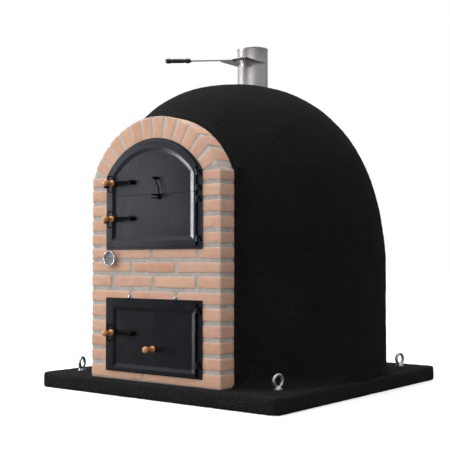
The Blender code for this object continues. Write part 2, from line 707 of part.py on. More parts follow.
def thermometer():
    x, z = DIAL
    inner = DIAL_R - 0.0035
    case = [(DIAL_R - 0.0015, 0.0200), (DIAL_R, 0.0185), (DIAL_R, 0.0080), (DIAL_R - 0.0030, 0.0060),
            (0.0120, 0.0050), (0.0110, GAP), (0.0040, GAP), (0.0040, -0.085), (0.0, -0.085),
            (0.0, 0.0100), (inner, 0.0100), (inner, 0.0200)]
    finish(turned("thermometer_case", case, facing_front(x, 0.0, z), 24), "chrome")
    dial_r = inner - GAP
    dial = [(0.0, 0.0113), (dial_r, 0.0113), (dial_r, 0.0103), (0.0, 0.0103)]
    finish(turned("thermometer_dial", dial, facing_front(x, 0.0, z), 24), "dial_white")
    glass = [(0.0, 0.0180), (dial_r, 0.0180), (dial_r, 0.0165), (0.0, 0.0165)]
    finish(turned("thermometer_glass", glass, facing_front(x, 0.0, z), 24), "clear_glass")
    axis = pivot_empty("thermometer_axis", (x, FACE_Y - 0.013, z))
    needle = rod("thermometer_needle", (x, FACE_Y - 0.0150, z), (x, FACE_Y - 0.0120, z), 0.0028, 12)
    aim = Matrix.Translation((x, FACE_Y, z)) @ Matrix.Rotation(math.radians(-45), 4, "Y")
    blade = box("needle_blade", (-0.0220, -0.0142, -0.0009), (0.0080, -0.0134, 0.0009))
    blade.data.transform(aim)
    join(needle, blade)
    finish(needle, "black_iron", axis)


def flue():
    low, high = FLUE_Z
    inner = FLUE_R - FLUE_WALL
    wall = [(FLUE_R, high), (FLUE_R, low), (inner, low), (inner, high)]
    pipe = turned("flue_pipe", wall, Matrix.Translation((0, FLUE_Y, 0)), 32)
    slot_half = DAMPER_THICK / 2 + CLEAR
    slot = box("damper_slot", (-0.1, FLUE_Y - 0.1, DAMPER_Z - slot_half),
               (0.1, FLUE_Y + 0.0010, DAMPER_Z + slot_half))
    cut(pipe, slot)
    finish(pipe, "stainless")

    axis = pivot_empty("damper_axis", (0, FLUE_Y, DAMPER_Z))
    half = DAMPER_THICK / 2
    disc = rod("damper_plate", (0, FLUE_Y, DAMPER_Z - half), (0, FLUE_Y, DAMPER_Z + half),
               inner - 0.0010, 32)
    blade = box("damper_blade", (-DAMPER_HALF, FLUE_Y - DAMPER_FRONT, DAMPER_Z - half),
                (DAMPER_HALF, FLUE_Y, DAMPER_Z + half))
    join(disc, blade)
    finish(disc, "stainless", axis)
    start = (0, FLUE_Y - DAMPER_FRONT + 0.030, DAMPER_Z - half - ROD_R - GAP)
    bend = (0, FLUE_Y - DAMPER_FRONT - 0.010, DAMPER_Z - half - ROD_R - GAP)
    end = (0, *ROD_END)
    along = (Vector(end) - Vector(bend)).normalized()
    pull = wire("damper_rod", [start, bend, end, Vector(end) + along * 0.060], ROD_R)
    finish(pull, "stainless", axis)

    tip = Vector((0, *HANDLE_END))
    grip_axis = (tip - Vector(end)).normalized()
    length = (tip - Vector(end)).length
    place = Matrix.Translation(end) @ grip_axis.to_track_quat("Z", "X").to_matrix().to_4x4()
    r = HANDLE_R
    profile = [(0.0, length), (r - 0.003, length), (r, length - 0.004), (r, length - 0.028),
               (r - 0.0025, length - 0.032), (r - 0.0005, length - 0.037), (r - 0.0005, 0.034),
               (r - 0.0025, 0.029), (r, 0.024), (r, 0.008), (r - 0.003, 0.002), (0.0050, 0.0),
               (0.0046, 0.0), (0.0046, 0.062), (0.0, 0.062)]
    grip = turned("damper_handle", profile, place, 14)
    finish(grip, "black_handle", axis)


def build():
    clear_scene()
    cutters = shared_cutters()
    base_slab()
    lifting_eyes()
    lower_masonry(cutters)
    oven_vault(cutters)
    dome_shell(cutters)
    facade()
    swing_high, swing_low = upper_door()
    swing_lower = lower_door()
    for key, swing in (("upper_leaf", swing_high), ("lower_leaf", swing_low),
                       ("lower_door", swing_lower)):
        latch(key, swing)
    pull_knob(swing_lower)
    coupling(swing_high, swing_low)
    thermometer()
    flue()
    for obj in collection("pizza_oven").objects:
        if obj.type == "MESH":
            obj.data.shade_smooth()
            obj.data.set_sharp_from_angle(angle=math.radians(35))


build()
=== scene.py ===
"""Looks of the wood fired pizza oven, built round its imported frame. Metres, +Z up, doors face -Y."""
import math
import random

import bmesh
import bpy
from mathutils import Matrix, Vector, noise


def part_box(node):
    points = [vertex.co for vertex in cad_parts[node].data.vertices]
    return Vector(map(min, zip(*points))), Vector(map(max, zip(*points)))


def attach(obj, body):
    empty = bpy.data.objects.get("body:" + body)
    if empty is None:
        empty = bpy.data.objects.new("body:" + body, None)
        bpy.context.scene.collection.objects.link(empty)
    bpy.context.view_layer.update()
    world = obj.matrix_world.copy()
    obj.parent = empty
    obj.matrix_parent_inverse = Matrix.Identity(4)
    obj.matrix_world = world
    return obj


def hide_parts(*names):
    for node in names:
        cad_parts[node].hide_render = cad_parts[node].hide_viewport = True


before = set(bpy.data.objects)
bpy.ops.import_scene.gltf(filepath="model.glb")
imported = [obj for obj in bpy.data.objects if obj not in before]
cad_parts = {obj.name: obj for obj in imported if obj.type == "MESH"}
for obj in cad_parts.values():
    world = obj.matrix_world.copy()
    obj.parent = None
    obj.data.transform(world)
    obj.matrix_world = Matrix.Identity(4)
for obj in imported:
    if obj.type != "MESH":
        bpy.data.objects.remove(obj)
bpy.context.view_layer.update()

TAU = 2 * math.pi


def low(node):
    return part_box(node)[0]


def high(node):
    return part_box(node)[1]


def middle(node):
    return (low(node) + high(node)) / 2


def at(x, y, z):
    return Matrix.Translation((x, y, z))


# Facts of the frame
FACE_Y = low("facade_middle_wall").y
SIDE = high("facade_middle_wall").x
BACK_Y = high("facade_middle_wall").y
BRICK_DEPTH = BACK_Y - FACE_Y - 0.001
SLAB_TOP = high("base_slab").z
SPRING = high("facade_upper_pier_left").z
SPLIT_Z = (low("upper_leaf").z + high("lower_leaf").z) / 2
SPLIT_GAP = 0.0007
ARCH_Z = 0.811                 # centre and radius of the brick arch's outer edge
ARCH_R = 0.393
JAMB = 0.2315                  # bricks begin here beside the upper opening
INNER_ARCH = (0.775, 0.2865)
COLLAR = 0.016
COLLAR_FRONT = 0.0893
DOME_R = high("dome_render").x
DOME_Y = high("dome_render").y - DOME_R
DOME_AXIS = at(0, DOME_Y, 0)
WALL_TOP = 0.594
CROWN = 1.4125
LEAN = -0.085                  # how far the top of the crown lies to the front
RISE, BULGE = 2.29, 2.35       # exponents of the crown's curve
FLUE_Y = middle("flue_pipe").y
FLUE_R = high("flue_pipe").x
FLUE_TOP = high("flue_pipe").z
FLUE_AXIS = at(0, FLUE_Y, 0)
LATCHES = ("upper_leaf", "lower_leaf", "lower_door")


# Meshes

def new_object(name, mesh):
    obj = bpy.data.objects.new(name, mesh)
    bpy.context.scene.collection.objects.link(obj)
    return obj


def from_bmesh(bm, name):
    bmesh.ops.recalc_face_normals(bm, faces=bm.faces)
    mesh = bpy.data.meshes.new(name)
    bm.to_mesh(mesh)
    bm.free()
    return new_object(name, mesh)


def add_faces(bm, verts, faces):
    made = [bm.verts.new(v) for v in verts]
    for face in faces:
        bm.faces.new([made[i] for i in face])


def from_data(name, verts, faces):
    bm = bmesh.new()
    add_faces(bm, verts, faces)
    return from_bmesh(bm, name)


def painted(obj, name, values):
    """Stores a number for each point, which a look can read."""
    layer = obj.data.attributes.new(name, "FLOAT", "POINT")
    layer.data.foreach_set("value", values)


def baked(obj):
    """The object with its modifiers applied and its place moved into its mesh."""
    graph = bpy.context.evaluated_depsgraph_get()
    graph.update()
    mesh = bpy.data.meshes.new_from_object(obj.evaluated_get(graph))
    mesh.transform(obj.matrix_world)
    obj.modifiers.clear()
    obj.matrix_world = Matrix.Identity(4)
    obj.data = mesh
    return obj


def joined(name, *parts):
    bm = bmesh.new()
    for part in parts:
        bm.from_mesh(part.data)
        bpy.data.objects.remove(part, do_unlink=True)
    mesh = bpy.data.meshes.new(name)
    bm.to_mesh(mesh)
    bm.free()
    return new_object(name, mesh)


def carved(obj, *tools):
    """Cuts the tools out of the object and removes them."""
    for tool in tools:
        step = obj.modifiers.new("cut", "BOOLEAN")
        step.operation = "DIFFERENCE"
        step.solver = "MANIFOLD"
        step.object = tool
    baked(obj)
    for tool in tools:
        bpy.data.objects.remove(tool, do_unlink=True)


def remeshed(obj, voxel, smoothing=0, factor=0.5):
    step = obj.modifiers.new("remesh", "REMESH")
    step.mode = "VOXEL"
    step.voxel_size = voxel
    if smoothing:
        soft = obj.modifiers.new("soften", "SMOOTH")
        soft.iterations = smoothing
        soft.factor = factor
    return baked(obj)


def roughened(obj, *octaves, seed=0.0):
    """Moves each point along its normal by noise. An octave is (features per metre, metres)."""
    shift = Vector((seed, 1.7 * seed, 0.6 * seed))
    mesh = obj.data
    moved = []
    for vert, normal in zip(mesh.vertices, mesh.vertex_normals):
        push = sum(depth * noise.noise(vert.co * scale + shift) for scale, depth in octaves)
        moved.extend(vert.co + normal.vector * push)
    mesh.vertices.foreach_set("co", moved)
    mesh.update()


def bridged(bm, rings):
    """Faces between rings of equally many points, one ring after the other."""
    for first, second in zip(rings, rings[1:]):
        for i in range(len(first)):
            j = (i + 1) % len(first)
            bm.faces.new((first[i], first[j], second[j], second[i]))


def lathe(name, profile, place=None, steps=48, closed=False):
    """Turned solid about +Z from (radius, height) points, its ends on the axis or closed in a loop."""
    place = place or Matrix.Identity(4)
    bm = bmesh.new()
    rings = []
    for radius, height in profile:
        count = 1 if radius < 1e-6 else steps
        rings.append([bm.verts.new(place @ Vector((radius * math.cos(TAU * i / count),
                                                   radius * math.sin(TAU * i / count), height)))
                      for i in range(count)])
    pairs = list(zip(rings, rings[1:]))
    if closed:
        pairs.append((rings[-1], rings[0]))
    for first, second in pairs:
        for i in range(steps):
            corners = [first[i % len(first)], first[(i + 1) % len(first)],
                       second[(i + 1) % len(second)], second[i % len(second)]]
            corners = list(dict.fromkeys(corners))
            if len(corners) > 2:
                bm.faces.new(corners)
    return from_bmesh(bm, name)


def rounded_profile(points, radius, steps=3):
    """Rounds the inner corners of an open profile of (radius, height) points."""
    made = [points[0]]
    for before, corner, after in zip(points, points[1:], points[2:]):
        a, b, c = Vector(before), Vector(corner), Vector(after)
        reach = min(radius, (a - b).length * 0.45, (c - b).length * 0.45)
        start, end = b + (a - b).normalized() * reach, b + (c - b).normalized() * reach
        for i in range(steps + 1):
            t = i / steps
            made.append(tuple(start * (1 - t) ** 2 + b * 2 * t * (1 - t) + end * t * t))
    return made + [points[-1]]


def curve_points(points, detail):
    """Smooth line through the points."""
    points = [Vector(p) for p in points]
    ends = [points[0] * 2 - points[1]] + points + [points[-1] * 2 - points[-2]]
    made = []
    for a, b, c, d in zip(ends, ends[1:], ends[2:], ends[3:]):
        for i in range(detail):
            t = i / detail
            made.append(0.5 * (2 * b + (c - a) * t + (2 * a - 5 * b + 4 * c - d) * t * t
                               + (3 * b - a - 3 * c + d) * t ** 3))
    return made + [points[-1]]


def tube(name, points, radius, sides=14, detail=6):
    """Round wire along a smooth line, with domed ends."""
    line = curve_points(points, detail) if detail > 1 else [Vector(p) for p in points]
    along = [(b - a).normalized() for a, b in zip(line, line[1:])]
    tangents = [along[0]] + [(a + b).normalized() for a, b in zip(along, along[1:])] + [along[-1]]
    caps = [(share, radius * math.sqrt(1 - share ** 2)) for share in (0.92, 0.7, 0.38)]
    stations = [(line[0] - tangents[0] * radius * share, tangents[0], size) for share, size in caps]
    stations += [(place, tangent, radius) for place, tangent in zip(line, tangents)]
    stations += [(line[-1] + tangents[-1] * radius * share, tangents[-1], size)
                 for share, size in reversed(caps)]
    side = tangents[0].orthogonal().normalized()
    bm = bmesh.new()
    rings = []
    for place, tangent, size in stations:
        side = (side - tangent * side.dot(tangent)).normalized()
        other = tangent.cross(side)
        rings.append([bm.verts.new(place + (side * math.cos(a) + other * math.sin(a)) * size)
                      for a in (TAU * i / sides for i in range(sides))])
    bridged(bm, rings)
    bm.faces.new(rings[0][::-1])
    bm.faces.new(rings[-1])
    return from_bmesh(bm, name)


def ticks(length, radius, step):
    """Grid lines over a block's side, closer together at its rounded edges."""
    edge = [0.0, 0.35 * radius, radius]
    count = max(1, round((length - 2 * radius) / step))
    inner = [radius + (length - 2 * radius) * i / count for i in range(1, count)]
    return edge + inner + [length - e for e in reversed(edge)]


def block(size, radius, steps, worn=None):
    """Points and faces of a box from the origin to size, with rounded edges.

    worn(point, edge) gives how far to move a point in, where edge is 0 on a side's middle and 1
    on an edge. The third value given is that edge for each point.
    """
    size = Vector(size)
    lines = [ticks(size[a], radius, steps[a]) for a in range(3)]
    counts = [len(line) for line in lines]
    index, verts, edges = {}, [], []

    def corner(key):
        if key in index:
            return index[key]
        raw = Vector(lines[a][key[a]] for a in range(3))
        core = Vector(min(max(raw[a], radius), size[a] - radius) for a in range(3))
        out = raw - core
        if out.length > 1e-9:
            out.normalize()
        near = sorted(min(raw[a], size[a] - raw[a]) for a in range(3))
        edge = max(0.0, 1.0 - near[1] / (3.0 * radius))
        place = core + out * radius
        if worn:
            place -= out * worn(place, edge)
        index[key] = len(verts)
        verts.append(place)
        edges.append(edge)
        return index[key]

    faces = []
    for axis in range(3):
        u, v = (axis + 1) % 3, (axis + 2) % 3
        for end in (0, counts[axis] - 1):
            for i in range(counts[u] - 1):
                for j in range(counts[v] - 1):
                    square = []
                    for di, dj in ((0, 0), (1, 0), (1, 1), (0, 1)):
                        key = [0, 0, 0]
                        key[axis], key[u], key[v] = end, i + di, j + dj
                        square.append(corner(tuple(key)))
                    faces.append(square if end else square[::-1])
    return verts, faces, edges


def solid_block(name, start, end, radius=0.0008):
    """Small steel block with rounded edges."""
    start, end = Vector(start), Vector(end)
    verts, faces, _ = block(end - start, radius, (1, 1, 1))
    return from_data(name, [v + start for v in verts], faces)


def loft(name, levels, capped=True):
    """Solid over matching outlines of (x, z) points, each at its own depth behind the brick faces."""
    bm = bmesh.new()
    rings = [[bm.verts.new((x, FACE_Y + depth, z)) for x, z in outline] for outline, depth in levels]
    bridged(bm, rings if capped else rings + rings[:1])
    if capped:
        bm.faces.new(rings[0])
        bm.faces.new(rings[-1])
    return from_bmesh(bm, name)


def arc(x, z, radius, first, last, steps):
    """Points of an arc round (x, z), between two angles in radians."""
    return [(x + radius * math.cos(a), z + radius * math.sin(a))
            for a in (first + (last - first) * i / steps for i in range(steps + 1))]


def turn_corner(x, z, radius, quarter):
    return arc(x, z, radius, quarter * math.pi / 2, (quarter + 1) * math.pi / 2, 4)


def arched(left, right, bottom, centre, radius, corner=0.004):
    """Outline with upright sides and a round head, as a function of how far in it lies."""
    def outline(inset=0.0):
        x0, x1, z0, r = left + inset, right - inset, bottom + inset, radius - inset
        c = max(corner - inset, 0.0008)
        head = arc(0, centre, r, math.acos(x1 / r), math.acos(x0 / r), 44)
        return turn_corner(x0 + c, z0 + c, c, 2) + turn_corner(x1 - c, z0 + c, c, 3) + head
    return outline


def squared(left, right, bottom, top, corner=0.004):
    """The same with a flat head."""
    def outline(inset=0.0):
        x0, x1, z0, z1 = left + inset, right - inset, bottom + inset, top - inset
        c = max(corner - inset, 0.0008)
        return (turn_corner(x0 + c, z0 + c, c, 2) + turn_corner(x1 - c, z0 + c, c, 3)
                + turn_corner(x1 - c, z1 - c, c, 0) + turn_corner(x0 + c, z1 - c, c, 1))
    return outline


def facade_outline(margin=0.0, bottom=0.0):
    side, shoulder, radius = SIDE + margin, SPRING + margin, ARCH_R + margin
    first = math.asin((shoulder - ARCH_Z) / radius)
    head = arc(0, ARCH_Z, radius, first, math.pi - first, 64)
    return [(-side, bottom), (side, bottom), (side, shoulder)] + head + [(-side, shoulder)]


def slab_of(name, outline, front, back):
    return loft(name, [(outline, front), (outline, back)])


def dome_radius(share, radius):
    return radius * max(0.0, 1 - share ** RISE) ** (1 / BULGE)


def dome(name, radius, wall_top, crown, base, steps, rings):
    """Solid dome: an upright wall, then a crown that leans to the front."""
    profile = [(0.0, crown)]
    for ring in range(1, rings + 1):
        share = math.cos(math.pi / 2 * ring / rings)
        profile.append((dome_radius(share, radius), wall_top + (crown - wall_top) * share))
    walls = max(1, round((wall_top - base) / 0.05))
    profile += [(radius, wall_top + (base - wall_top) * i / walls) for i in range(1, walls + 1)]
    profile.append((0.0, base))
    obj = lathe(name, profile, DOME_AXIS, steps)
    for vert in obj.data.vertices:
        vert.co.y += LEAN * max(0.0, (vert.co.z - WALL_TOP) / (CROWN - WALL_TOP))
    return obj


def bevelled(node, width):
    """A copy of a CAD node with its sharp edges rounded."""
    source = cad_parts[node]
    bm = bmesh.new()
    bm.from_mesh(source.data)
    bmesh.ops.remove_doubles(bm, verts=bm.verts, dist=0.00002)
    bmesh.ops.dissolve_limit(bm, angle_limit=math.radians(0.5), verts=bm.verts, edges=bm.edges)
    obj = from_bmesh(bm, node + "_worked")
    bevel = obj.modifiers.new("edges", "BEVEL")
    bevel.width = width
    bevel.segments = 2
    bevel.limit_method = "ANGLE"
    bevel.angle_limit = math.radians(32)
    return baked(obj)


def facing_front(x, z, depth=0.0):
    """Puts a turned piece at (x, z) with its own +Z pointing out of the front."""
    return at(x, FACE_Y + depth, z) @ Matrix.Rotation(math.radians(90), 4, "X")


# Materials

class Nodes:
    """Short names for the nodes of one tree."""

    def __init__(self, tree):
        self.tree = tree

    def node(self, kind, inputs=None, **settings):
        """Adds a node and feeds its inputs, given by the names or numbers of their sockets."""
        made = self.tree.nodes.new("ShaderNode" + kind)
        for key, value in settings.items():
            setattr(made, key, value)
        for key, value in (inputs or {}).items():
            self.feed(made.inputs[key], value)
        return made

    def feed(self, socket, value):
        if isinstance(value, bpy.types.NodeSocket):
            self.tree.links.new(value, socket)
        elif socket.type == "RGBA" and len(value) == 3:
            socket.default_value = (*value, 1.0)
        else:
            socket.default_value = value

    def split(self, vector):
        return self.node("SeparateXYZ", {0: vector}).outputs

    def math(self, operation, first, second=0.0):
        return self.node("Math", {0: first, 1: second}, operation=operation).outputs[0]

    def span(self, value, start, end, first, last):
        """Turns a range of values into another range."""
        return self.node("MapRange", {0: value, 1: start, 2: end, 3: first, 4: last}).outputs[0]

    def ramp(self, value, *stops):
        made = self.node("ValToRGB", {0: value})
        elements = made.color_ramp.elements
        for position, color in stops[2:]:
            elements.new(position)
        for element, (position, color) in zip(elements, sorted(stops)):
            element.position = position
            element.color = (*color, 1.0)
        return made.outputs["Color"]

    def mix(self, share, first, second):
        """Blends two colours, which are sockets 6 and 7 of the Mix node."""
        return self.node("Mix", {0: share, 6: first, 7: second}, data_type="RGBA").outputs[2]


class Look(Nodes):
    """A material made of nodes."""

    def __init__(self, name):
        self.material = bpy.data.materials.new(name)
        self.material.use_nodes = True
        super().__init__(self.material.node_tree)
        self.shader = self.tree.nodes["Principled BSDF"]
        self.place = self.node("TexCoord").outputs["Object"]

    def stretch(self, scale):
        return self.node("Mapping", {"Vector": self.place, "Scale": scale}).outputs["Vector"]

    def noise(self, scale, detail=3.0, roughness=0.55, distortion=0.0, place=None):
        return self.node("TexNoise", {"Vector": place or self.place, "Scale": scale, "Detail": detail,
                                      "Roughness": roughness, "Distortion": distortion}).outputs["Fac"]

    def cells(self, scale):
        return self.node("TexVoronoi", {"Vector": self.place, "Scale": scale}).outputs["Distance"]

    def attribute(self, name):
        return self.node("Attribute", attribute_name=name).outputs["Fac"]

    def bump(self, height, distance, strength=1.0, before=None):
        inputs = {"Height": height, "Distance": distance, "Strength": strength}
        if before:
            inputs["Normal"] = before
        return self.node("Bump", inputs).outputs["Normal"]

    def set(self, **values):
        for key, value in values.items():
            self.feed(self.shader.inputs[key.replace("_", " ")], value)
        return self.material


def stucco(name, level):
    """Sandy black render; level scales how light it is."""
    look = Look(name)
    grain = look.noise(210, 4, 0.72)
    pits = look.cells(170)
    trowel = look.noise(7, 4, 0.6)
    speck = look.cells(300)

    def shade(value):
        return (value * level, value * 0.97 * level, value * 0.99 * level)

    color = look.ramp(grain, (0.32, shade(0.002)), (0.52, shade(0.0058)), (0.7, shade(0.019)))
    dust = look.span(trowel, 0.35, 0.75, 0.0, 0.4)
    color = look.mix(dust, color, shade(0.0105))
    color = look.mix(look.span(speck, 0.0, 0.25, 0.6, 0.0), color, shade(0.03))
    height = look.math("ADD", look.math("MULTIPLY", grain, 0.9), look.math("MULTIPLY", pits, 0.8))
    normal = look.bump(trowel, 0.01, 0.5)
    return look.set(Base_Color=color, Roughness=look.span(grain, 0.3, 0.7, 0.78, 0.98),
                    Specular_IOR_Level=0.05, Normal=look.bump(height, 0.0075, 1.0, normal))


def fired_brick():
    look = Look("brick_fired")
    tint = look.attribute("tint")
    edge = look.attribute("edge")
    color = look.ramp(tint, (0.0, (0.57, 0.3, 0.196)), (0.25, (0.63, 0.366, 0.244)),
                      (0.5, (0.64, 0.395, 0.29)), (0.75, (0.59, 0.33, 0.252)),
                      (1.0, (0.67, 0.42, 0.29)))
    blotch = look.noise(16, 4, 0.65)
    sand = look.noise(420, 3, 0.75)
    pores = look.cells(150)
    color = look.mix(look.span(blotch, 0.4, 0.75, 0.0, 0.55), color, (0.69, 0.455, 0.32))
    color = look.mix(look.span(blotch, 0.25, 0.45, 0.4, 0.0), color, (0.53, 0.265, 0.17))
    color = look.mix(look.span(sand, 0.35, 0.75, 0.0, 0.3), color, (0.4, 0.225, 0.155))
    color = look.mix(look.span(look.math("MULTIPLY", edge, look.noise(60, 3)), 0.1, 0.55, 0.0, 0.85),
                     color, (0.5, 0.4, 0.335))
    height = look.math("ADD", look.math("MULTIPLY", sand, 0.6),
                       look.span(pores, 0.0, 0.22, -0.7, 0.0))
    normal = look.bump(look.noise(45, 3), 0.004, 0.45)
    return look.set(Base_Color=color, Roughness=look.span(sand, 0.3, 0.7, 0.8, 0.95),
                    Specular_IOR_Level=0.25, Normal=look.bump(height, 0.0018, 0.8, normal))


def mortar():
    look = Look("mortar_grey")
    sand = look.noise(380, 4, 0.75)
    wash = look.noise(24, 4, 0.6)
    color = look.ramp(wash, (0.3, (0.4, 0.356, 0.314)), (0.5, (0.48, 0.432, 0.386)),
                      (0.72, (0.56, 0.518, 0.472)))
    color = look.mix(look.math("MULTIPLY", look.attribute("pale"), 0.6), color, (0.64, 0.57, 0.51))
    color = look.mix(look.span(sand, 0.4, 0.75, 0.0, 0.45), color, (0.27, 0.225, 0.195))
    height = look.math("ADD", sand, look.math("MULTIPLY", look.cells(170), 0.5))
    normal = look.bump(wash, 0.006, 0.4)
    return look.set(Base_Color=color, Roughness=look.span(sand, 0.3, 0.7, 0.85, 0.97),
                    Specular_IOR_Level=0.2, Normal=look.bump(height, 0.0025, 0.9, normal))


def painted_steel(name, color, sheen, roughness):
    """Satin heat proof paint with roller streaks, dust and a faint orange peel."""
    look = Look(name)
    streak = look.noise(9, 5, 0.6, place=look.stretch((14.0, 14.0, 1.0)))
    cloud = look.noise(6, 4, 0.6, 0.4)
    peel = look.noise(650, 2, 0.5)
    light = tuple(1.55 * c for c in color)
    dark = tuple(0.72 * c for c in color)
    base = look.ramp(cloud, (0.3, dark), (0.5, color), (0.72, light))
    base = look.mix(look.span(streak, 0.52, 0.72, 0.0, 0.3), base, tuple(1.5 * c for c in color))
    rough = look.math("ADD", look.span(cloud, 0.3, 0.7, roughness - 0.03, roughness + 0.05),
                      look.span(streak, 0.4, 0.7, -0.01, 0.015))
    normal = look.bump(look.noise(9, 2), 0.0022, 0.2)
    return look.set(Base_Color=base, Roughness=rough, Specular_IOR_Level=sheen,
                    Normal=look.bump(peel, 0.000012, 0.35, normal))


def mottled(name, grain, colors, rough, relief=None, **values):
    """A look that follows one noise: colors are ramp stops, rough is what span takes.

    relief is the noise, the distance and the strength of a bump.
    """
    look = Look(name)
    cloud = look.noise(*grain)
    if relief:
        rise, distance, strength = relief
        values["Normal"] = look.bump(look.noise(*rise), distance, strength)
    return look.set(Base_Color=look.ramp(cloud, *colors), Roughness=look.span(cloud, *rough), **values)


def turned_wood():
    look = Look("wood_turned")
    grain = look.noise(26, 5, 0.6, 0.7, look.stretch((9.0, 1.0, 9.0)))
    fibre = look.noise(150, 3, 0.6, 0.0, look.stretch((7.0, 1.0, 7.0)))
    color = look.ramp(grain, (0.28, (0.33, 0.115, 0.03)), (0.48, (0.56, 0.235, 0.07)),
                      (0.68, (0.7, 0.34, 0.12)))
    color = look.mix(look.span(fibre, 0.45, 0.7, 0.0, 0.45), color, (0.29, 0.1, 0.028))
    return look.set(Base_Color=color, Roughness=look.span(fibre, 0.3, 0.7, 0.28, 0.42),
                    Coat_Weight=0.55, Coat_Roughness=0.12,
                    Normal=look.bump(fibre, 0.0004, 0.5))


def brushed(name, color, direction, roughness, stain=0.12):
    """Metal brushed along the directions whose stretch is small."""
    look = Look(name)
    brush = look.noise(90, 4, 0.65, 0.0, look.stretch(direction))
    smear = look.noise(14, 4, 0.6, 0.5)
    dark, light = (tuple(factor * c for c in color) for factor in (0.86, 1.08))
    base = look.ramp(brush, (0.3, dark), (0.7, light))
    base = look.mix(look.span(smear, 0.5, 0.8, 0.0, stain), base, tuple(0.72 * c for c in color))
    rough = look.math("ADD", look.span(brush, 0.3, 0.7, roughness - 0.05, roughness + 0.07),
                      look.span(smear, 0.4, 0.75, 0.0, 0.08))
    return look.set(Base_Color=base, Metallic=1.0, Roughness=rough,
                    Normal=look.bump(brush, 0.0003, 0.35))


def galvanised():
    look = Look("zinc_bright")
    spangle = look.cells(110)
    bloom = look.noise(60, 4, 0.6)
    base = look.ramp(bloom, (0.3, (0.4, 0.425, 0.455)), (0.6, (0.54, 0.565, 0.595)),
                     (0.8, (0.66, 0.68, 0.7)))
    base = look.mix(look.span(spangle, 0.1, 0.6, 0.25, 0.0), base, (0.37, 0.395, 0.425))
    return look.set(Base_Color=base, Metallic=0.95, Roughness=look.span(bloom, 0.3, 0.7, 0.2, 0.4),
                    Normal=look.bump(bloom, 0.0012, 0.5))


def window_glass():
    look = Look("glass_clear")
    dust = look.noise(260, 4, 0.7)
    return look.set(Base_Color=(0.96, 0.98, 0.98), Transmission_Weight=1.0, IOR=1.45,
                    Roughness=look.span(dust, 0.45, 0.8, 0.02, 0.16),
                    Normal=look.bump(dust, 0.00004, 0.3))


def phenolic():
    look = Look("grip_black")
    cloud = look.noise(90, 4, 0.6)
    scuff = look.noise(220, 4, 0.7, 0.0, look.stretch((8.0, 1.0, 8.0)))
    base = look.ramp(cloud, (0.3, (0.006, 0.0058, 0.0058)), (0.7, (0.015, 0.014, 0.0135)))
    base = look.mix(look.span(scuff, 0.55, 0.8, 0.0, 0.5), base, (0.032, 0.03, 0.028))
    return look.set(Base_Color=base, Roughness=look.span(scuff, 0.3, 0.75, 0.26, 0.5),
                    Normal=look.bump(scuff, 0.0002, 0.4))


def refractory(name, width, height, flat):
    """Firebrick laid in courses, flat or round the dome's axis, and sooty towards the top of the vault."""
    look = Look(name)
    x, y, z = look.split(look.place)
    if flat:
        across, up = x, y
    else:
        azimuth = look.math("ARCTAN2", x, look.math("MULTIPLY", y, -1.0))
        across, up = look.math("MULTIPLY", azimuth, 0.44), z
    laid = look.node("CombineXYZ", {0: across, 1: up}).outputs[0]
    bricks = look.node("TexBrick", {
        "Vector": laid, "Scale": 1.0, "Brick Width": width, "Row Height": height, "Bias": 0.0,
        "Mortar Size": 0.0035, "Mortar Smooth": 0.4, "Color1": (0.6, 0.52, 0.41),
        "Color2": (0.52, 0.43, 0.33), "Mortar": (0.33, 0.31, 0.285)})
    wobble = look.noise(22, 3)
    sand = look.noise(300, 4, 0.7)
    color = look.mix(look.span(wobble, 0.35, 0.7, 0.0, 0.45), bricks.outputs["Color"], (0.66, 0.6, 0.5))
    soot = look.math("MULTIPLY", look.span(z, 0.72, 1.15, 0.05, 0.95), look.span(wobble, 0.2, 0.6, 0.6, 1.0))
    color = look.mix(soot, color, (0.03, 0.028, 0.026))
    rise = look.math("SUBTRACT", look.math("MULTIPLY", sand, 0.25), bricks.outputs["Fac"])
    return look.set(Base_Color=color, Roughness=look.span(sand, 0.3, 0.7, 0.84, 0.97),
                    Specular_IOR_Level=0.2, Normal=look.bump(rise, 0.003, 0.8))


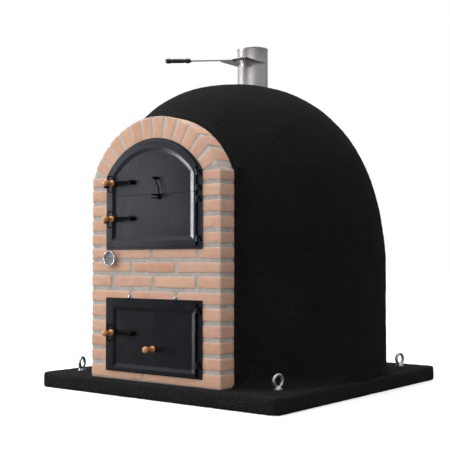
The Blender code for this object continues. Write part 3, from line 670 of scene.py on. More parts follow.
LOOKS = {
    "black_render": stucco("stucco_black", 1.8),
    "black_slab": stucco("stucco_slab", 2.8),
    "firebrick": fired_brick(),
    "mortar": mortar(),
    "black_steel": painted_steel("paint_satin_black", (0.0036, 0.004, 0.0085), 0.49, 0.25),
    # the door paint again, made darker and less glossy: painted shade on the lower door and its frame
    "black_steel_painted_shade": painted_steel("paint_satin_black_painted_shade", (0.0026, 0.0028, 0.0052), 0.24, 0.25),
    "black_iron": mottled("iron_black", (70, 4, 0.65), [(0.3, (0.0016, 0.0016, 0.0019)),
                                                        (0.6, (0.003, 0.0029, 0.0031)),
                                                        (0.8, (0.008, 0.007, 0.0064))],
                          (0.3, 0.75, 0.46, 0.66), ((520, 3, 0.7), 0.00006, 0.5),
                          Specular_IOR_Level=0.06),
    "turned_wood": turned_wood(),
    "stainless": brushed("stainless_brushed", (0.66, 0.636, 0.605), (1.0, 1.0, 14.0), 0.3),
    "stainless_plate": brushed("stainless_sheet", (0.55, 0.535, 0.52), (1.0, 12.0, 1.0), 0.26, 0.2),
    "galvanised": galvanised(),
    "chrome": mottled("chrome_polished", (240, 3, 0.6), [(0.3, (0.66, 0.66, 0.68)), (0.7, (0.8, 0.8, 0.81))],
                      (0.3, 0.7, 0.06, 0.16), ((240, 3, 0.6), 0.0001, 0.3), Metallic=1.0),
    "dial_white": mottled("dial_enamel", (120, 3, 0.6), [(0.3, (0.43, 0.45, 0.5)), (0.7, (0.56, 0.57, 0.61))],
                          (0.3, 0.7, 0.4, 0.55), ((900, 2), 0.0001, 0.3)),
    "dial_ink": mottled("dial_ink", (400, 2), [(0.3, (0.01, 0.01, 0.012)), (0.7, (0.022, 0.022, 0.026))],
                        (0.3, 0.7, 0.45, 0.6)),
    "clear_glass": window_glass(),
    "black_handle": phenolic(),
    "refractory": refractory("refractory_wall", 0.23, 0.076, False),
    "refractory_floor": refractory("refractory_tile", 0.23, 0.115, True),
    "insulation": mottled("fibre_blanket", (160, 5, 0.7, 0.6), [(0.3, (0.58, 0.57, 0.52)),
                                                                (0.7, (0.76, 0.75, 0.71))],
                          (0.3, 0.7, 0.9, 1.0), ((160, 5, 0.7, 0.6), 0.004, 0.8)),
}


def piece(obj, body, look, *replaces, slot=None, angle=35):
    """Finishes a piece: its material, the body it moves with and the nodes it stands for. The slot it is
    given is not used.
    """
    obj.data.materials.clear()
    obj.data.materials.append(LOOKS[look])
    obj.data.shade_smooth()
    obj.data.set_sharp_from_angle(angle=math.radians(angle))
    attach(obj, body)
    slot or look
    if replaces:
        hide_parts(*replaces)
    return obj


# Slab and dome

def slab_piece():
    start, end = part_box("base_slab")
    half = (end - start) / 2
    corner = 0.038

    def worn(place, edge):
        where = place + start
        wave = 0.0007 + 0.0007 * noise.noise(where * 9)
        chips = max(0.0, noise.noise(where * 60 + Vector((7, 0, 0)))) * 0.0022 * edge
        return max(0.0, wave + chips + 0.0008 * noise.noise(where * 130))

    verts, faces, _ = block(end - start, 0.013, (0.0125, 0.0125, 0.01), worn)
    for vert in verts:     # rounds the four upright corners
        vert -= Vector((half.x, half.y, 0))
        reach = [abs(vert[a]) - (half[a] - corner) for a in (0, 1)]
        if min(reach) > 0:
            shrink = max(reach) / math.hypot(*reach)
            for a in (0, 1):
                vert[a] = math.copysign(half[a] - corner + reach[a] * shrink, vert[a])
        vert += Vector((start.x + half.x, start.y + half.y, start.z))
    obj = from_data("slab_rendered", verts, faces)
    piece(obj, "oven", "black_slab", "base_slab", slot="black_render", angle=60)


def dome_piece():
    """One coat of render, with a collar round the bricks, a seal round the flue and a cove at the foot."""
    coat = dome("dome_coat", DOME_R - 0.001, WALL_TOP, CROWN - 0.0005, 0.045, 128, 44)
    collar = slab_of("collar", facade_outline(COLLAR, 0.045), COLLAR_FRONT - 0.002, 0.27)
    seal = lathe("flue_seal", [(0, 1.424), (FLUE_R + 0.01, 1.418), (FLUE_R + 0.022, 1.39),
                               (FLUE_R + 0.022, 1.34), (0, 1.34)], FLUE_AXIS)
    for vert in seal.data.vertices:     # follows the slope of the crown
        vert.co.z -= 0.13 * (vert.co.y - FLUE_Y + 0.02)
    cove = [(0.06, -0.004), (0.036, -0.001), (0.022, 0.004), (0.011, 0.012), (0.003, 0.026), (-0.004, 0.036)]
    foot = lathe("foot", [(0, SLAB_TOP + 0.06)] + [(DOME_R + out, SLAB_TOP + up) for up, out in cove]
                 + [(DOME_R + 0.036, 0.045), (0, 0.045)], DOME_AXIS, 128)
    margin = 0.012
    side, back = high("base_slab").x - margin, high("base_slab").y - margin
    for vert in foot.data.vertices:     # stays clear of the slab's edges
        vert.co.x = max(-side, min(side, vert.co.x))
        vert.co.y = min(back, vert.co.y)
    coat = remeshed(joined("dome_coat", coat, collar, seal, foot), 0.0085, 7)
    roughened(coat, (3.0, 0.003), (11.0, 0.0016), (45.0, 0.0011), (105.0, 0.001), seed=3.1)
    room = slab_of("room", facade_outline(0.0004, -0.02), -0.2, BACK_Y - FACE_Y + 0.0005)
    hollow = dome("hollow", DOME_R - 0.03, WALL_TOP, CROWN - 0.03, 0.03, 64, 14)
    pipe = lathe("pipe_room", [(0, 1.2), (FLUE_R + 0.0005, 1.2), (FLUE_R + 0.0005, 1.6), (0, 1.6)],
                 FLUE_AXIS, 96)
    carved(coat, room, hollow, pipe, solid_block("base_room", (-1, -1, -0.1), (1, 1, SLAB_TOP - 0.004)))
    piece(coat, "oven", "black_render", "dome_render", angle=50)


# Brick front

def brick_worn(seed, chips=0.002):
    shift = Vector((seed * 3.1, seed * 1.3, seed * 2.2))

    def worn(place, edge):
        where = place + shift
        wave = 0.0006 * noise.noise(where * 35) + 0.0003 * noise.noise(where * 160)
        bite = max(0.0, noise.noise(where * 85) - 0.05) * edge * chips * 2.2
        return wave + bite + 0.0004 * edge
    return worn


def course_bricks():
    """Bricks of the upright part as (size, place), where the size is along x, y and z."""
    joint = 0.0072
    beds = [SLAB_TOP - 0.0063, 0.136, 0.201, 0.265, 0.332, 0.4, 0.464, 0.528, 0.587, 0.649,
            0.71, 0.775, 0.84, 0.905, SPRING + 0.001]
    # the courses that run across, and where their upright joints are
    full = {0: (-0.055,), 5: (-0.126, 0.134), 6: (-0.239, 0.006, 0.245),
            7: (-0.125, 0.134), 8: (-0.25, -0.003, 0.25)}
    made = []
    for course, (bottom, top) in enumerate(zip(beds, beds[1:])):
        if course in full:
            ends = (-SIDE - joint, *full[course], SIDE + joint)
            spans = zip(ends, ends[1:])
        else:
            spans = [(-SIDE - joint, -JAMB + joint), (JAMB - joint, SIDE + joint)]
        upright = joint if course else 0.0022
        for left, right in spans:
            wobble = random.uniform(-0.001, 0.001)
            start = Vector((max(left + upright, -SIDE), 0, bottom + joint + wobble))
            end = Vector((min(right - upright, SIDE), BRICK_DEPTH, top - joint + wobble))
            made.append((end - start, at(start.x, FACE_Y, start.z)))
    return made


def arch_bricks(count, width):
    """Bricks of the arch, from right to left, as (size, place)."""
    centre, radius = INNER_ARCH
    drop = ARCH_Z - centre
    made = []
    for turn in range(count):
        angle = math.radians(32 + 116 / (count - 1) * turn + random.uniform(-0.35, 0.35))
        inner = -drop * math.sin(angle) + math.sqrt(radius ** 2 - (drop * math.cos(angle)) ** 2)
        if turn in (0, count - 1):
            inner = 0.309
        outer = ARCH_R + random.uniform(-0.001, 0.0002)
        place = (at(0, FACE_Y, ARCH_Z) @ Matrix.Rotation(math.pi / 2 - angle, 4, "Y")
                 @ at(-width / 2, 0, inner + 0.001))
        made.append((Vector((width, BRICK_DEPTH, outer - inner - 0.001)), place))
    return made


def bricks_piece():
    random.seed(11)
    width = 0.05
    courses = course_bricks()
    bricks = courses + arch_bricks(12, width)
    bm = bmesh.new()
    tints, edges = [], []
    for number, (size, place) in enumerate(bricks):
        verts, faces, near = block(size, 0.0034, (0.0095, 0.022, 0.0095), brick_worn(number + 1.0))
        in_arch = number >= len(courses)
        set_back = at(0, random.uniform(0.0, 0.0005 if in_arch else 0.0012), 0)
        if in_arch:     # they widen outwards
            for vert in verts:
                vert.x = width / 2 + (vert.x - width / 2) * (1 + 0.24 * vert.z / size.z)
        add_faces(bm, [place @ set_back @ v for v in verts], faces)
        tints += [random.random()] * len(verts)
        edges += near
    obj = from_bmesh(bm, "facade_bricks")
    painted(obj, "tint", tints)
    painted(obj, "edge", edges)
    nodes = ["facade_sill", "facade_middle_wall", "facade_arch"]
    nodes += [f"facade_{level}_pier_{side}" for level in ("lower", "upper") for side in ("left", "right")]
    piece(obj, "oven", "firebrick", *nodes, angle=60)


def mortar_piece():
    recess, flush = 0.0026, 0.0015
    core = slab_of("mortar", facade_outline(-recess, SLAB_TOP - 0.004), recess, BACK_Y - FACE_Y - 0.002)
    upper = slab_of("upper_hole", arched(-JAMB, JAMB, 0.674, *INNER_ARCH, 0.001)(), -0.1, 0.3)
    lower = slab_of("lower_hole", squared(-0.231, 0.237, 0.1415, 0.3995, 0.001)(), -0.1, 0.3)
    carved(core, upper, lower)
    remeshed(core, 0.0058, 2, 0.4)
    shares = [min(1.0, max(0.0, (vert.co.z - SPRING) / 0.03)) for vert in core.data.vertices]
    for vert, share in zip(core.data.vertices, shares):   # the arch's joints are filled almost flush
        out = Vector((vert.co.x, 0, vert.co.z - ARCH_Z))
        if vert.co.y < FACE_Y + 0.01:
            vert.co.y -= (recess - flush) * share
        if out.length > ARCH_R - 0.012:
            vert.co += out.normalized() * (recess - flush) * share
    roughened(core, (28.0, 0.0005), (90.0, 0.0005), (170.0, 0.0005), seed=8.0)
    painted(core, "pale", shares)
    piece(core, "oven", "mortar", slot="firebrick", angle=60)


# Doors

# left, right, bottom, centre and radius of the head, corner
UPPER_OUTLINES = {"frame": (-0.277, 0.277, 0.634, 0.782, 0.328, 0.002),
                  "opening": (-0.222, 0.222, 0.682, 0.775, 0.277, 0.003),
                  "leaf": (-0.262, 0.2475, 0.645, 0.782, 0.318, 0.003),
                  "rim": (-0.235, 0.239, 0.672, 0.781, 0.292, 0.006),
                  "floor": (-0.213, 0.2145, 0.687, 0.769, 0.283, 0.004),
                  "tray": (-0.212, 0.212, 0.692, 0.775, 0.267, 0.003)}
# left, right, bottom, top, corner
LOWER_OUTLINES = {"frame": (-0.277, 0.277, 0.104, 0.424, 0.002),
                  "opening": (-0.214, 0.23, 0.148, 0.366, 0.003),
                  "leaf": (-0.258, 0.2485, 0.109, 0.411, 0.003),
                  "rim": (-0.226, 0.244, 0.122, 0.3865, 0.006),
                  "floor": (-0.2075, 0.2245, 0.141, 0.3685, 0.004),
                  "tray": (-0.204, 0.22, 0.158, 0.356, 0.003)}
# the pins' x, the leaf's edge beside them, and their heights
HINGES = {"upper_leaf": (0.2555, 0.2475, (0.947, 0.884)),
          "lower_leaf": (0.2555, 0.2475, (0.838, 0.676)),
          "lower_door": (0.256, 0.2485, (0.382, 0.159))}


def hinge_half(name, x, z, upper, leaf_edge):
    """One barrel of a hinge with the strap or tab that carries it."""
    axis = FACE_Y - 0.0105
    length, gap = 0.011, 0.0003
    bottom, top = (z + gap, z + length) if upper else (z - length, z - gap)
    profile = rounded_profile([(0.0032, bottom), (0.0062, bottom), (0.0062, top), (0.0032, top)], 0.0006)
    barrel = lathe(name, profile, at(x, axis, 0), 28, closed=True)
    if upper:
        arm = solid_block(name + "_arm", (leaf_edge - 0.006, axis + 0.001, bottom),
                          (x - 0.0038, axis + 0.005, top), 0.0005)
    else:
        arm = solid_block(name + "_arm", (x + 0.0038, axis - 0.001, bottom),
                          (x + 0.014, FACE_Y - 0.0025, top), 0.0005)
    return [barrel, arm]


def pressed_leaf(name, outer, rim, floor, tray):
    """Sheet with a rolled edge and a pressed panel, and the shallow tray behind it."""
    front, back, deep = -0.0105, -0.0035, 0.005
    levels = [(outer(), back), (outer(), front + 0.0011), (outer(0.0003), front + 0.0004),
              (outer(0.001), front), (rim(-0.003), front)]
    rim_line, floor_line = rim(), floor()
    for step in range(13):
        share = step / 12
        ease = 0.14
        if share < ease:
            press = share ** 2 / (2 * ease)
        elif share > 1 - ease:
            press = 1 - ease - (1 - share) ** 2 / (2 * ease)
        else:
            press = share - ease / 2
        press /= 1 - ease
        outline = [(a + (c - a) * share, b + (d - b) * share)
                   for (a, b), (c, d) in zip(rim_line, floor_line)]
        levels.append((outline, front + deep * press))
    levels.append((floor(0.004), front + deep))
    sheet = loft(name, levels)
    box = loft(name + "_tray", [(tray(), back - 0.0005), (tray(), 0.0175), (tray(0.0008), 0.0192),
                                (tray(0.0025), 0.02), (tray(0.022), 0.02), (tray(0.025), 0.0185)])
    return joined(name, sheet, box)


def half_leaf(whole, name, above):
    """The part of a door above or below the split."""
    bm = bmesh.new()
    bm.from_mesh(whole.data)
    level = SPLIT_Z + (SPLIT_GAP if above else -SPLIT_GAP)
    bmesh.ops.bisect_plane(bm, geom=bm.verts[:] + bm.edges[:] + bm.faces[:], dist=1e-6,
                           plane_co=(0, 0, level), plane_no=(0, 0, -1 if above else 1), clear_outer=True)
    open_edges = [e for e in bm.edges if e.is_boundary]
    bmesh.ops.edgeloop_fill(bm, edges=open_edges)
    return from_bmesh(bm, name)


def ring_frame(name, outer, inner):
    """Steel ring on the brick face with the sleeve that lines the opening."""
    front, back, deep, sheet = -0.003, -0.0003, 0.08, 0.004
    levels = [(outer(), back), (outer(), front + 0.0008), (outer(0.0008), front),
              (inner(0.001), front), (inner(0.0), front + 0.0012), (inner(0.0), deep),
              (inner(-sheet), deep), (inner(-sheet), back)]
    return loft(name, levels, capped=False)


def hinges(leaf):
    """The halves that swing with the leaf, and the halves on its frame."""
    x, edge, heights = HINGES[leaf]
    moving, fixed = [], []
    for number, z in enumerate(heights):
        moving += hinge_half(f"{leaf}_barrel_{number}", x, z, True, edge)
        fixed += hinge_half(f"{leaf}_fixed_{number}", x, z, False, edge)
    return moving, fixed


def upper_door():
    outlines = {key: arched(*sizes) for key, sizes in UPPER_OUTLINES.items()}
    frame_parts = [ring_frame("upper_frame_steel", outlines["frame"], outlines["opening"])]
    whole = pressed_leaf("door", *(outlines[key] for key in ("leaf", "rim", "floor", "tray")))
    for leaf in ("upper_leaf", "lower_leaf"):
        moving, fixed = hinges(leaf)
        sheet = half_leaf(whole, leaf + "_sheet", leaf == "upper_leaf")
        piece(joined(leaf + "_pressed", sheet, *moving), leaf, "black_steel", leaf, angle=28)
        frame_parts += fixed
    bpy.data.objects.remove(whole, do_unlink=True)
    piece(joined("upper_frame_steel", *frame_parts), "oven", "black_steel", "upper_frame", angle=28)


def lower_door():
    outlines = {key: squared(*sizes) for key, sizes in LOWER_OUTLINES.items()}
    ring = ring_frame("lower_frame_steel", outlines["frame"], outlines["opening"])
    sheet = pressed_leaf("lower_door_pressed", *(outlines[key] for key in ("leaf", "rim", "floor", "tray")))
    moving, fixed = hinges("lower_door")
    for name, parts, body, node in (("lower_door_pressed", [sheet] + moving, "lower_door", "lower_door"),
                                    ("lower_frame_steel", [ring] + fixed, "oven", "lower_frame")):
        # the lower door and its frame take the darker copy of the paint, which is painted shade
        piece(joined(name, *parts), body, "black_steel_painted_shade", node, slot="black_steel", angle=28)


# Ironmongery

def knob(name, node, body):
    """Turned knob: a flared foot with a bead, a waist and a full rounded head, with a screw inside."""
    x, _, z = middle(node)
    foot = high(node).y - 0.0045
    reach = foot - low(node).y
    shape = [(0.0, 0.0), (0.004, -0.0001), (0.0085, -0.001), (0.012, -0.0033), (0.014, -0.007),
             (0.0145, -0.0105), (0.0142, -0.0145), (0.0131, -0.019), (0.0113, -0.0235),
             (0.0095, -0.0275), (0.0084, -0.0315)]
    profile = [(r, reach + h) for r, h in shape]
    profile += [(0.008, 0.0185), (0.0083, 0.016), (0.0095, 0.014), (0.0092, 0.013), (0.0108, 0.0118),
                (0.0131, 0.0095), (0.0141, 0.0062), (0.014, 0.0028), (0.0128, 0.0006), (0.0115, 0.0),
                (0.0031, 0.0), (0.003, -0.0044), (0.0, -0.0044)]
    obj = lathe(name, profile, facing_front(x, z, foot - FACE_Y), 40)
    piece(obj, body, "turned_wood", node, angle=50)


def staple(key):
    """Wire bent into a square staple that guides the lever."""
    node = key + "_latch_staple"
    start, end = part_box(node)
    x, r = (start.x + end.x) / 2, (end.x - start.x) / 2
    bottom, top, foot = start.z + r, end.z - r, end.y - r
    bend = 0.006
    corner = start.y + r + bend
    route = [(x, foot, bottom), (x, corner, bottom)]
    route += [(x, corner - bend * math.sin(a), bottom + bend - bend * math.cos(a))
              for a in (math.radians(18 * i) for i in range(1, 6))]
    route += [(x, corner - bend * math.cos(a), top - bend + bend * math.sin(a))
              for a in (math.radians(18 * i) for i in range(0, 5))]
    route += [(x, corner, top), (x, foot, top)]
    wire = tube(key + "_staple_bent", route, r, 12, 1)
    piece(wire, key, "black_iron", node, angle=50)


def latch_pieces():
    for key in LATCHES:
        knob(key + "_knob_turned", key + "_latch_knob", key + "_latch")
        for part, body, width in (("lever", key + "_latch", 0.001), ("bolt", key, 0.0007),
                                  ("catch", "oven", 0.0009)):
            node = f"{key}_latch_{part}"
            piece(bevelled(node, width), body, "black_iron", node)
        staple(key)


def hook_piece():
    """Wire hook with an eye on its pivot at the top and a curled end round its peg."""
    y = middle("coupling_hook").y
    x, z = 0.026, 0.937
    peg_x, peg_z = 0.044, 0.863
    curl = 0.0105
    route = [(x, y, z - 0.002), (x + 0.01, y, 0.925), (x + 0.0185, y, 0.905), (x + 0.026, y, 0.885)]
    route += [(peg_x + curl * math.cos(a), y, peg_z + curl * math.sin(a))
              for a in (math.radians(-12 - 24 * n) for n in range(5))]
    route += [(0.032, y, 0.8515), (0.022, y, 0.851), (0.01, y, 0.853)]
    wire = tube("hook_wire", route, 0.0028, 12, 5)
    eye = lathe("hook_eye", rounded_profile([(0.0033, -0.003), (0.0075, -0.003), (0.0075, 0.003),
                                             (0.0033, 0.003)], 0.0012),
                facing_front(x, z, y - FACE_Y), 28, closed=True)
    piece(joined("coupling_hook_bent", wire, eye), "coupling_hook", "black_iron",
          "coupling_hook", angle=50)


def pins_and_fixings():
    for node, body, look, width in (("coupling_pivot_stud", "upper_leaf", "black_iron", 0.0006),
                                    ("coupling_peg", "lower_leaf", "black_iron", 0.0006),
                                    ("frame_fixing_left", "oven", "galvanised", 0.0014),
                                    ("frame_fixing_right", "oven", "galvanised", 0.0014)):
        piece(bevelled(node, width), body, look, node, slot="black_iron")
    for leaf in LATCHES:
        for end in ("top", "base"):
            node = f"{leaf}_hinge_{end}_pin"
            piece(bevelled(node, 0.0005), "oven", "black_iron", node)


# Thermometer

def thermometer():
    x, _, z = middle("thermometer_case")
    place = facing_front(x, z)
    r = high("thermometer_case").x - x
    inner = r - 0.0035
    rim = rounded_profile([(inner, 0.015), (inner, 0.0198), (r - 0.0012, 0.02), (r, 0.0175),
                           (r, 0.0085), (r - 0.0035, 0.0062), (0.012, 0.005), (0.0112, 0.0003),
                           (0.004, 0.0003)], 0.0011, 4)
    stem = [(0.004, -0.084), (0.0, -0.085)]
    case = lathe("thermometer_body", [(0.0, 0.01), (inner - 0.0004, 0.01)] + rim + stem, place, 72)
    piece(case, "oven", "chrome", "thermometer_case", angle=40)
    dial = lathe("thermometer_face", [(0.0, 0.0112), (inner - 0.004, 0.0112), (inner - 0.0008, 0.0116),
                                      (inner - 0.0004, 0.0104), (0.0, 0.0104)], place, 72)
    piece(dial, "oven", "dial_white", "thermometer_dial", angle=40)
    markings(x, z, inner - 0.0026)
    lens = lathe("thermometer_lens", [(0.0, 0.0182), (inner * 0.5, 0.018), (inner - 0.0006, 0.0172),
                                      (inner - 0.0004, 0.0164), (inner * 0.5, 0.017), (0.0, 0.0172)],
                 place, 72)
    piece(lens, "oven", "clear_glass", "thermometer_glass", angle=50)
    pointer(x, z)


def markings(x, z, reach):
    """Ticks round the dial, from 0 at the lower left to 500 at the lower right, each fifth with a figure."""
    front = FACE_Y - 0.0121
    marks = []
    for step in range(26):
        angle = math.radians(225 - 270 * step / 25)
        long = step % 5 == 0
        length, width = (0.0046, 0.0007) if long else (0.0026, 0.0004)
        bar = solid_block(f"tick_{step}", (reach - length, 0, -width), (reach, 0.0006, width), 0.0001)
        bar.data.transform(at(x, front, z) @ Matrix.Rotation(-angle, 4, "Y"))
        marks.append(bar)
        if long:
            near = reach - 0.0092
            marks.append(figure(str(20 * step), x + near * math.cos(angle), front + 0.0003,
                                z + near * math.sin(angle)))
    piece(joined("thermometer_markings", *marks), "oven", "dial_ink", slot="dial_white", angle=30)


def figure(text, x, y, z):
    curve = bpy.data.curves.new("number", "FONT")
    curve.body = text
    curve.size = 0.0068
    curve.extrude = 0.0002
    curve.align_x, curve.align_y = "CENTER", "CENTER"
    label = new_object("number", curve)
    label.matrix_world = at(x, y, z) @ Matrix.Rotation(math.radians(90), 4, "X")
    bpy.context.view_layer.update()
    mesh = bpy.data.meshes.new_from_object(label)
    mesh.transform(label.matrix_world)
    bpy.data.objects.remove(label, do_unlink=True)
    return new_object("number_mesh", mesh)


def pointer(x, z):
    boss = rounded_profile([(0.0, 0.015), (0.0024, 0.0149), (0.0028, 0.014), (0.0028, 0.0122), (0.0, 0.0122)],
                           0.0004)
    hub = lathe("needle_hub", boss, facing_front(x, z), 28)
    outline = [(-0.022, 0.0002), (-0.02, -0.0005), (0.0, -0.001), (0.006, -0.0013),
               (0.0085, 0.0), (0.006, 0.0013), (0.0, 0.001), (-0.02, 0.0005)]
    hand = loft("needle_hand", [(outline, -0.0142), (outline, -0.0136)])
    hand.data.transform(at(x, FACE_Y, z) @ Matrix.Rotation(math.radians(-45), 4, "Y")
                        @ at(0, -FACE_Y, 0))
    piece(joined("thermometer_pointer", hub, hand), "needle", "black_iron",
          "thermometer_needle")


# Lifting eyes, flue and damper

def lifting_eyes():
    ring_r, bar = 0.0245, 0.007
    section = arc(ring_r, 0, bar, 0, TAU * 19 / 20, 19)
    base = SLAB_TOP + 0.0003
    turns = {"front_right": 80, "front_left": 110, "back_right": 78, "back_left": 10}
    for key, degrees in turns.items():
        node = "lifting_eye_" + key
        centre = middle(node)
        stand = at(centre.x, centre.y, 0)
        upright = (at(0, 0, high(node).z - ring_r - bar)
                   @ Matrix.Rotation(math.radians(degrees), 4, "Z")
                   @ Matrix.Rotation(math.radians(90), 4, "X"))
        ring = lathe("eye_ring", section, stand @ upright, closed=True)
        neck = lathe("eye_neck", [(0.0, base + 0.017), (0.0085, base + 0.0165), (0.0115, base + 0.011),
                                  (0.015, base + 0.0085), (0.0168, base + 0.0065), (0.0168, base + 0.0022),
                                  (0.016, base + 0.0012), (0.0, base + 0.0012)], stand, 40)
        forging = remeshed(joined("eye_forging", ring, neck), 0.0011, 4)
        bottom = lathe("eye_washer", rounded_profile([(0.0, base + 0.0022), (0.02, base + 0.0022),
                                                      (0.0203, base), (0.008, base), (0.008, 0.036),
                                                      (0.0, 0.036)], 0.0006), stand, 40)
        piece(joined(f"eye_bolt_{key}", forging, bottom), "oven", "galvanised", node, angle=40)


def flue_pipe():
    """Pipe with a rolled bead at its rim, a slot for the damper and a seam at the back."""
    base = low("flue_pipe").z
    inner = FLUE_R - 0.002
    bead = [(FLUE_R, FLUE_TOP - 0.01), (FLUE_R + 0.0004, FLUE_TOP - 0.008),
            (FLUE_R + 0.0016, FLUE_TOP - 0.0055), (FLUE_R + 0.0019, FLUE_TOP - 0.003),
            (FLUE_R + 0.001, FLUE_TOP - 0.0008), (FLUE_R - 0.0006, FLUE_TOP),
            (inner + 0.0004, FLUE_TOP - 0.0006), (inner, FLUE_TOP - 0.003)]
    pipe = lathe("flue_tube", [(FLUE_R, base)] + bead + [(inner, base)], FLUE_AXIS, 128, closed=True)
    z = middle("damper_plate").z
    carved(pipe, solid_block("slot", (-0.12, FLUE_Y - 0.12, z - 0.0021),
                             (0.12, FLUE_Y + 0.001, z + 0.0021), 0.0002))
    seam = solid_block("flue_seam", (-0.0045, FLUE_Y + FLUE_R - 0.0012, base + 0.15),
                       (0.0045, FLUE_Y + FLUE_R + 0.0008, FLUE_TOP - 0.011), 0.0007)
    piece(joined("flue_tube", pipe, seam), "oven", "stainless", "flue_pipe", angle=30)


def damper():
    """Plate, its bent rod with two welds, and the turned grip with its ferrule."""
    piece(bevelled("damper_plate", 0.0007), "damper", "stainless_plate",
          "damper_plate", slot="stainless")
    rod_r = high("damper_rod").x
    plate = low("damper_plate")
    under = plate.z - rod_r - 0.0003
    grip_start = Vector((0, -0.4, 1.487))
    grip_end = Vector((0, -0.562, 1.457))
    along = (grip_end - grip_start).normalized()
    line = [(0, high("damper_rod").y - rod_r, under), (0, plate.y + 0.004, under),
            (0, plate.y - 0.01, under - 0.0008),
            (0, plate.y - 0.03, under + (grip_start.z - under) * 0.085),
            grip_start, grip_start + along * 0.05]
    rod = tube("damper_rod_drawn", line, rod_r, 16, 6)
    weld = [lathe(f"weld_{i}", [(0.0, 0.0022), (0.0024, 0.0012), (0.0034, -0.0006), (0.0, -0.0006)],
                  at(side * (rod_r - 0.0004), plate.y + 0.012 + 0.012 * i,
                                      under + rod_r - 0.001), 12)
            for i, side in enumerate((-1, 1))]
    piece(joined("damper_rod_drawn", rod, *weld), "damper", "stainless", "damper_rod", angle=50)
    length = (grip_end - grip_start).length
    place = Matrix.Translation(grip_start) @ along.to_track_quat("Z", "X").to_matrix().to_4x4()
    r = 0.0108
    bore, bore_depth = 0.0047, 0.06
    body = [(0.0, length), (r * 0.55, length - 0.0004), (r * 0.86, length - 0.0024), (r, length - 0.006),
            (r, length - 0.025), (r - 0.0008, length - 0.0272), (r - 0.0042, length - 0.0295),
            (r - 0.0046, length - 0.0325), (r - 0.003, length - 0.036), (r - 0.0016, length - 0.04),
            (r - 0.0012, length * 0.5), (r - 0.0016, 0.042), (r - 0.003, 0.038), (r - 0.0046, 0.0345),
            (r - 0.0042, 0.0312), (r - 0.0008, 0.0288), (r, 0.0266), (r, 0.0115), (r - 0.001, 0.0085),
            (r - 0.0044, 0.006), (bore + 0.0001, 0.0044), (bore, bore_depth), (0.0, bore_depth)]
    grip = lathe("damper_grip", body, place, 40)
    piece(grip, "damper", "black_handle", "damper_handle", angle=40)
    ferrule = lathe("damper_ferrule", rounded_profile([(0.0041, -0.003), (0.0066, -0.0028), (0.007, 0.0052),
                                                       (0.0041, 0.0052)], 0.0008), place, 32, closed=True)
    piece(ferrule, "damper", "stainless", angle=40)


# Inside

def vault_lining():
    vault = dome("vault_lining", 0.5, 0.76, 1.23, high("hearth_floor").z + 0.0003, 96, 22)
    hollow = dome("vault_hollow", 0.44, 0.76, 1.17, 0.62, 96, 22)
    throat = lathe("throat", [(0, 1.0), (FLUE_R - 0.006, 1.0), (FLUE_R - 0.006, 1.5), (0, 1.5)],
                   FLUE_AXIS, 64)
    way = slab_of("way", arched(-0.221, 0.221, 0.6, 0.775, 0.276, 0.001)(), -0.1, 0.42)
    carved(vault, hollow, throat, way)
    piece(vault, "oven", "refractory", "oven_vault", angle=40)


def log_store_lining():
    start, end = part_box("chamber_wall")
    inner = 0.46
    ring = [(end.x, start.z), (end.x, end.z), (inner, end.z), (inner, start.z)]
    wall = lathe("chamber_lining", ring, DOME_AXIS, 96, closed=True)
    room = slab_of("front_room", facade_outline(0.001, -0.02), -0.2, BACK_Y - FACE_Y + 0.001)
    way = slab_of("low_way", squared(-0.213, 0.229, 0.149, 0.365, 0.001)(), -0.1, 0.42)
    carved(wall, room, way)
    piece(wall, "oven", "refractory", "chamber_wall", angle=40)


def hearth_tiles():
    """Tiles laid in rows from the front, each second row shifted by half a tile."""
    start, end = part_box("hearth_floor")
    reach = end.x - 0.004
    tile, row, joint = 0.232, 0.1165, 0.002
    bm = bmesh.new()
    random.seed(5)
    y = start.y + joint
    shifted = False
    while y < end.y - 0.02:
        far = min(y + row - joint, end.y - 0.004)
        widest = max(abs(y - DOME_Y), abs(far - DOME_Y))
        half = math.sqrt(max(0.01, reach ** 2 - widest ** 2))
        shift = tile / 2 if shifted else 0.0
        edges = [e for e in (shift - 0.7 + tile * n for n in range(8)) if -half + 0.03 < e < half - 0.03]
        for left, right in zip([-half] + edges, edges + [half]):
            size = Vector((right - left - joint, far - y, end.z - start.z - random.uniform(0, 0.0012)))
            worn = brick_worn(random.random() * 40, 0.0012)
            verts, faces, _ = block(size, 0.0022, (0.03, 0.03, 0.05), worn)
            add_faces(bm, [v + Vector((left + joint / 2, y, start.z)) for v in verts], faces)
        y += row
        shifted = not shifted
    piece(from_bmesh(bm, "hearth_tiles"), "oven", "refractory_floor",
          "hearth_floor", slot="refractory", angle=50)


def doorway_lining():
    opening = arched(-0.2205, 0.2205, 0.661, 0.775, 0.2755, 0.002)
    front, back, wall = 0.0815, 0.262, 0.003
    levels = [(opening(), front), (opening(wall), front), (opening(wall), back), (opening(), back)]
    piece(loft("doorway_lining", levels, capped=False), "oven", "refractory", angle=30)


def hidden_parts():
    """The CAD parts that are shown as they are."""
    for node, look in (("hearth_support", "refractory"), ("dome_insulation", "insulation")):
        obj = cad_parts[node]
        obj.data.materials.clear()
        obj.data.materials.append(LOOKS[look])


# Studio

def floor():
    """A pale floor, which sends less light to the object than the camera sees."""
    obj = from_data("floor", [(-40, -40, 0), (40, -40, 0), (40, 40, 0), (-40, 40, 0)], [(0, 1, 2, 3)])
    look = Look("floor_pale")
    cloud = look.noise(0.8, 3)
    seen = look.node("LightPath").outputs["Is Camera Ray"]
    shown = look.ramp(cloud, (0.3, (0.63, 0.63, 0.625)), (0.7, (0.66, 0.66, 0.655)))
    look.set(Base_Color=look.mix(seen, (0.2, 0.2, 0.2), shown),
             Roughness=look.span(cloud, 0.3, 0.7, 0.8, 0.9), Emission_Color=(1.0, 1.0, 1.0, 1.0),
             Emission_Strength=look.math("MULTIPLY", seen, 0.55))
    obj.data.materials.append(look.material)


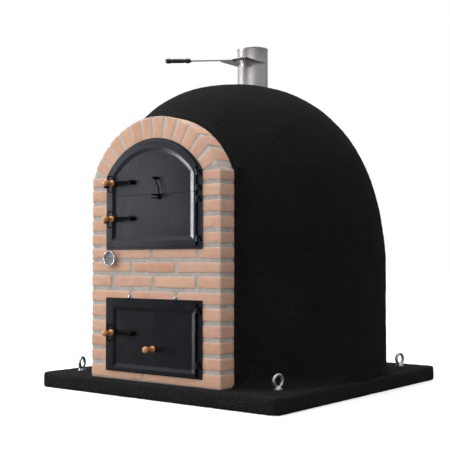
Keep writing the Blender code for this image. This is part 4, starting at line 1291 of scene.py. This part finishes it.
def surroundings():
    """A white backdrop for the camera, and for the object walls whose brightness goes by azimuth.

    A stop is (degrees, brightness), with 0 straight ahead of the doors.
    """
    near_floor = [(-180, 0.1), (-110, 0.12), (-85, 0.3), (-60, 0.42), (-48, 0.2), (-38, 0.09), (-28, 0.03),
                  (-14, 0.0), (10, 0.0), (34, 0.2), (60, 0.06), (95, 0.02), (130, 0.03), (180, 0.1)]
    above = [(-180, 0.3), (-110, 0.34), (-80, 0.62), (-66, 0.74), (-52, 0.5), (-41, 0.26), (-26, 0.22),
             (-13, 0.26), (0, 0.6), (12, 0.98), (25, 0.92), (38, 0.52), (54, 0.32), (78, 0.27), (180, 0.3)]
    world = bpy.data.worlds.new("studio")
    world.use_nodes = True
    bpy.context.scene.world = world
    sky = Nodes(world.node_tree)
    sky.tree.nodes.clear()
    x, y, z = sky.split(sky.node("TexCoord").outputs["Generated"])
    azimuth = sky.math("ARCTAN2", x, sky.math("MULTIPLY", y, -1.0))
    turn = sky.node("Math", {0: azimuth, 1: 1 / TAU, 2: 0.5}, operation="MULTIPLY_ADD").outputs[0]

    def ring(walls):
        shade = sky.ramp(turn, *((degrees / 360 + 0.5, (level, level, level * 1.02))
                                 for degrees, level in walls))
        shade.node.color_ramp.interpolation = "EASE"
        return shade

    walls = sky.mix(sky.span(z, 0.13, 0.21, 0.0, 1.0), ring(near_floor), ring(above))
    around = sky.mix(sky.span(z, 0.4, 0.8, 0.0, 1.0), walls, (0.62, 0.62, 0.62))
    lit = sky.node("Background", {"Color": around, "Strength": 1.93}).outputs[0]
    backdrop = sky.node("Background", {"Color": (1.0, 1.0, 1.0)}).outputs[0]
    seen = sky.node("LightPath").outputs["Is Camera Ray"]
    choose = sky.node("MixShader", {0: seen, 1: lit, 2: backdrop}).outputs[0]
    sky.node("OutputWorld", {"Surface": choose})


def lamps():
    """Soft boxes: name, place, what they face, size, watts and colour."""
    for name, place, aim, size, power, color in (
            ("strip", (-3.9, -2.6, 0.75), (0.1, -0.65, 0.65), (0.36, 1.9), 78, (0.94, 0.95, 1.0)),
            ("card", (-1.57, -2.34, 1.05), (0, -0.66, 0.9), (0.16, 0.6), 0.95, (0.78, 0.82, 1.0)),
            ("key", (-2.4, -3.9, 3.4), (0, -0.4, 0.6), (1.6, 1.6), 47, (1.0, 1.0, 1.0)),
            ("top", (-1.1, -1.2, 4.2), (0, 0, 0.5), (3.0, 3.0), 100, (1.0, 1.0, 1.0))):
        data = bpy.data.lights.new(name, "AREA")
        data.shape = "RECTANGLE"
        data.size, data.size_y = size
        data.energy = power
        data.color = color
        light = new_object(name, data)
        light.location = place
        light.rotation_euler = (Vector(aim) - Vector(place)).to_track_quat("-Z", "Y").to_euler()
        light.visible_camera = False
        light.visible_glossy = name != "key"


def camera():
    """Stands to the right of the front and looks slightly up."""
    azimuth, elevation = math.radians(38.16), math.radians(-2.35)
    data = bpy.data.cameras.new("camera")
    data.sensor_width = 36.0
    data.lens = 71.84
    obj = new_object("camera", data)
    obj.location = (2.605, -3.463, 0.581)
    ahead = Vector((-math.sin(azimuth) * math.cos(elevation), math.cos(azimuth) * math.cos(elevation),
                    -math.sin(elevation)))
    obj.rotation_euler = ahead.to_track_quat("-Z", "Y").to_euler()
    bpy.context.scene.camera = obj


bpy.context.scene.view_settings.view_transform = "Standard"
camera()
floor()
surroundings()
lamps()
slab_piece()
dome_piece()
bricks_piece()
mortar_piece()
upper_door()
lower_door()
latch_pieces()
knob("pull_knob_turned", "lower_door_pull_knob", "lower_door")
hook_piece()
pins_and_fixings()
thermometer()
lifting_eyes()
flue_pipe()
damper()
vault_lining()
log_store_lining()
hearth_tiles()
doorway_lining()
hidden_parts()
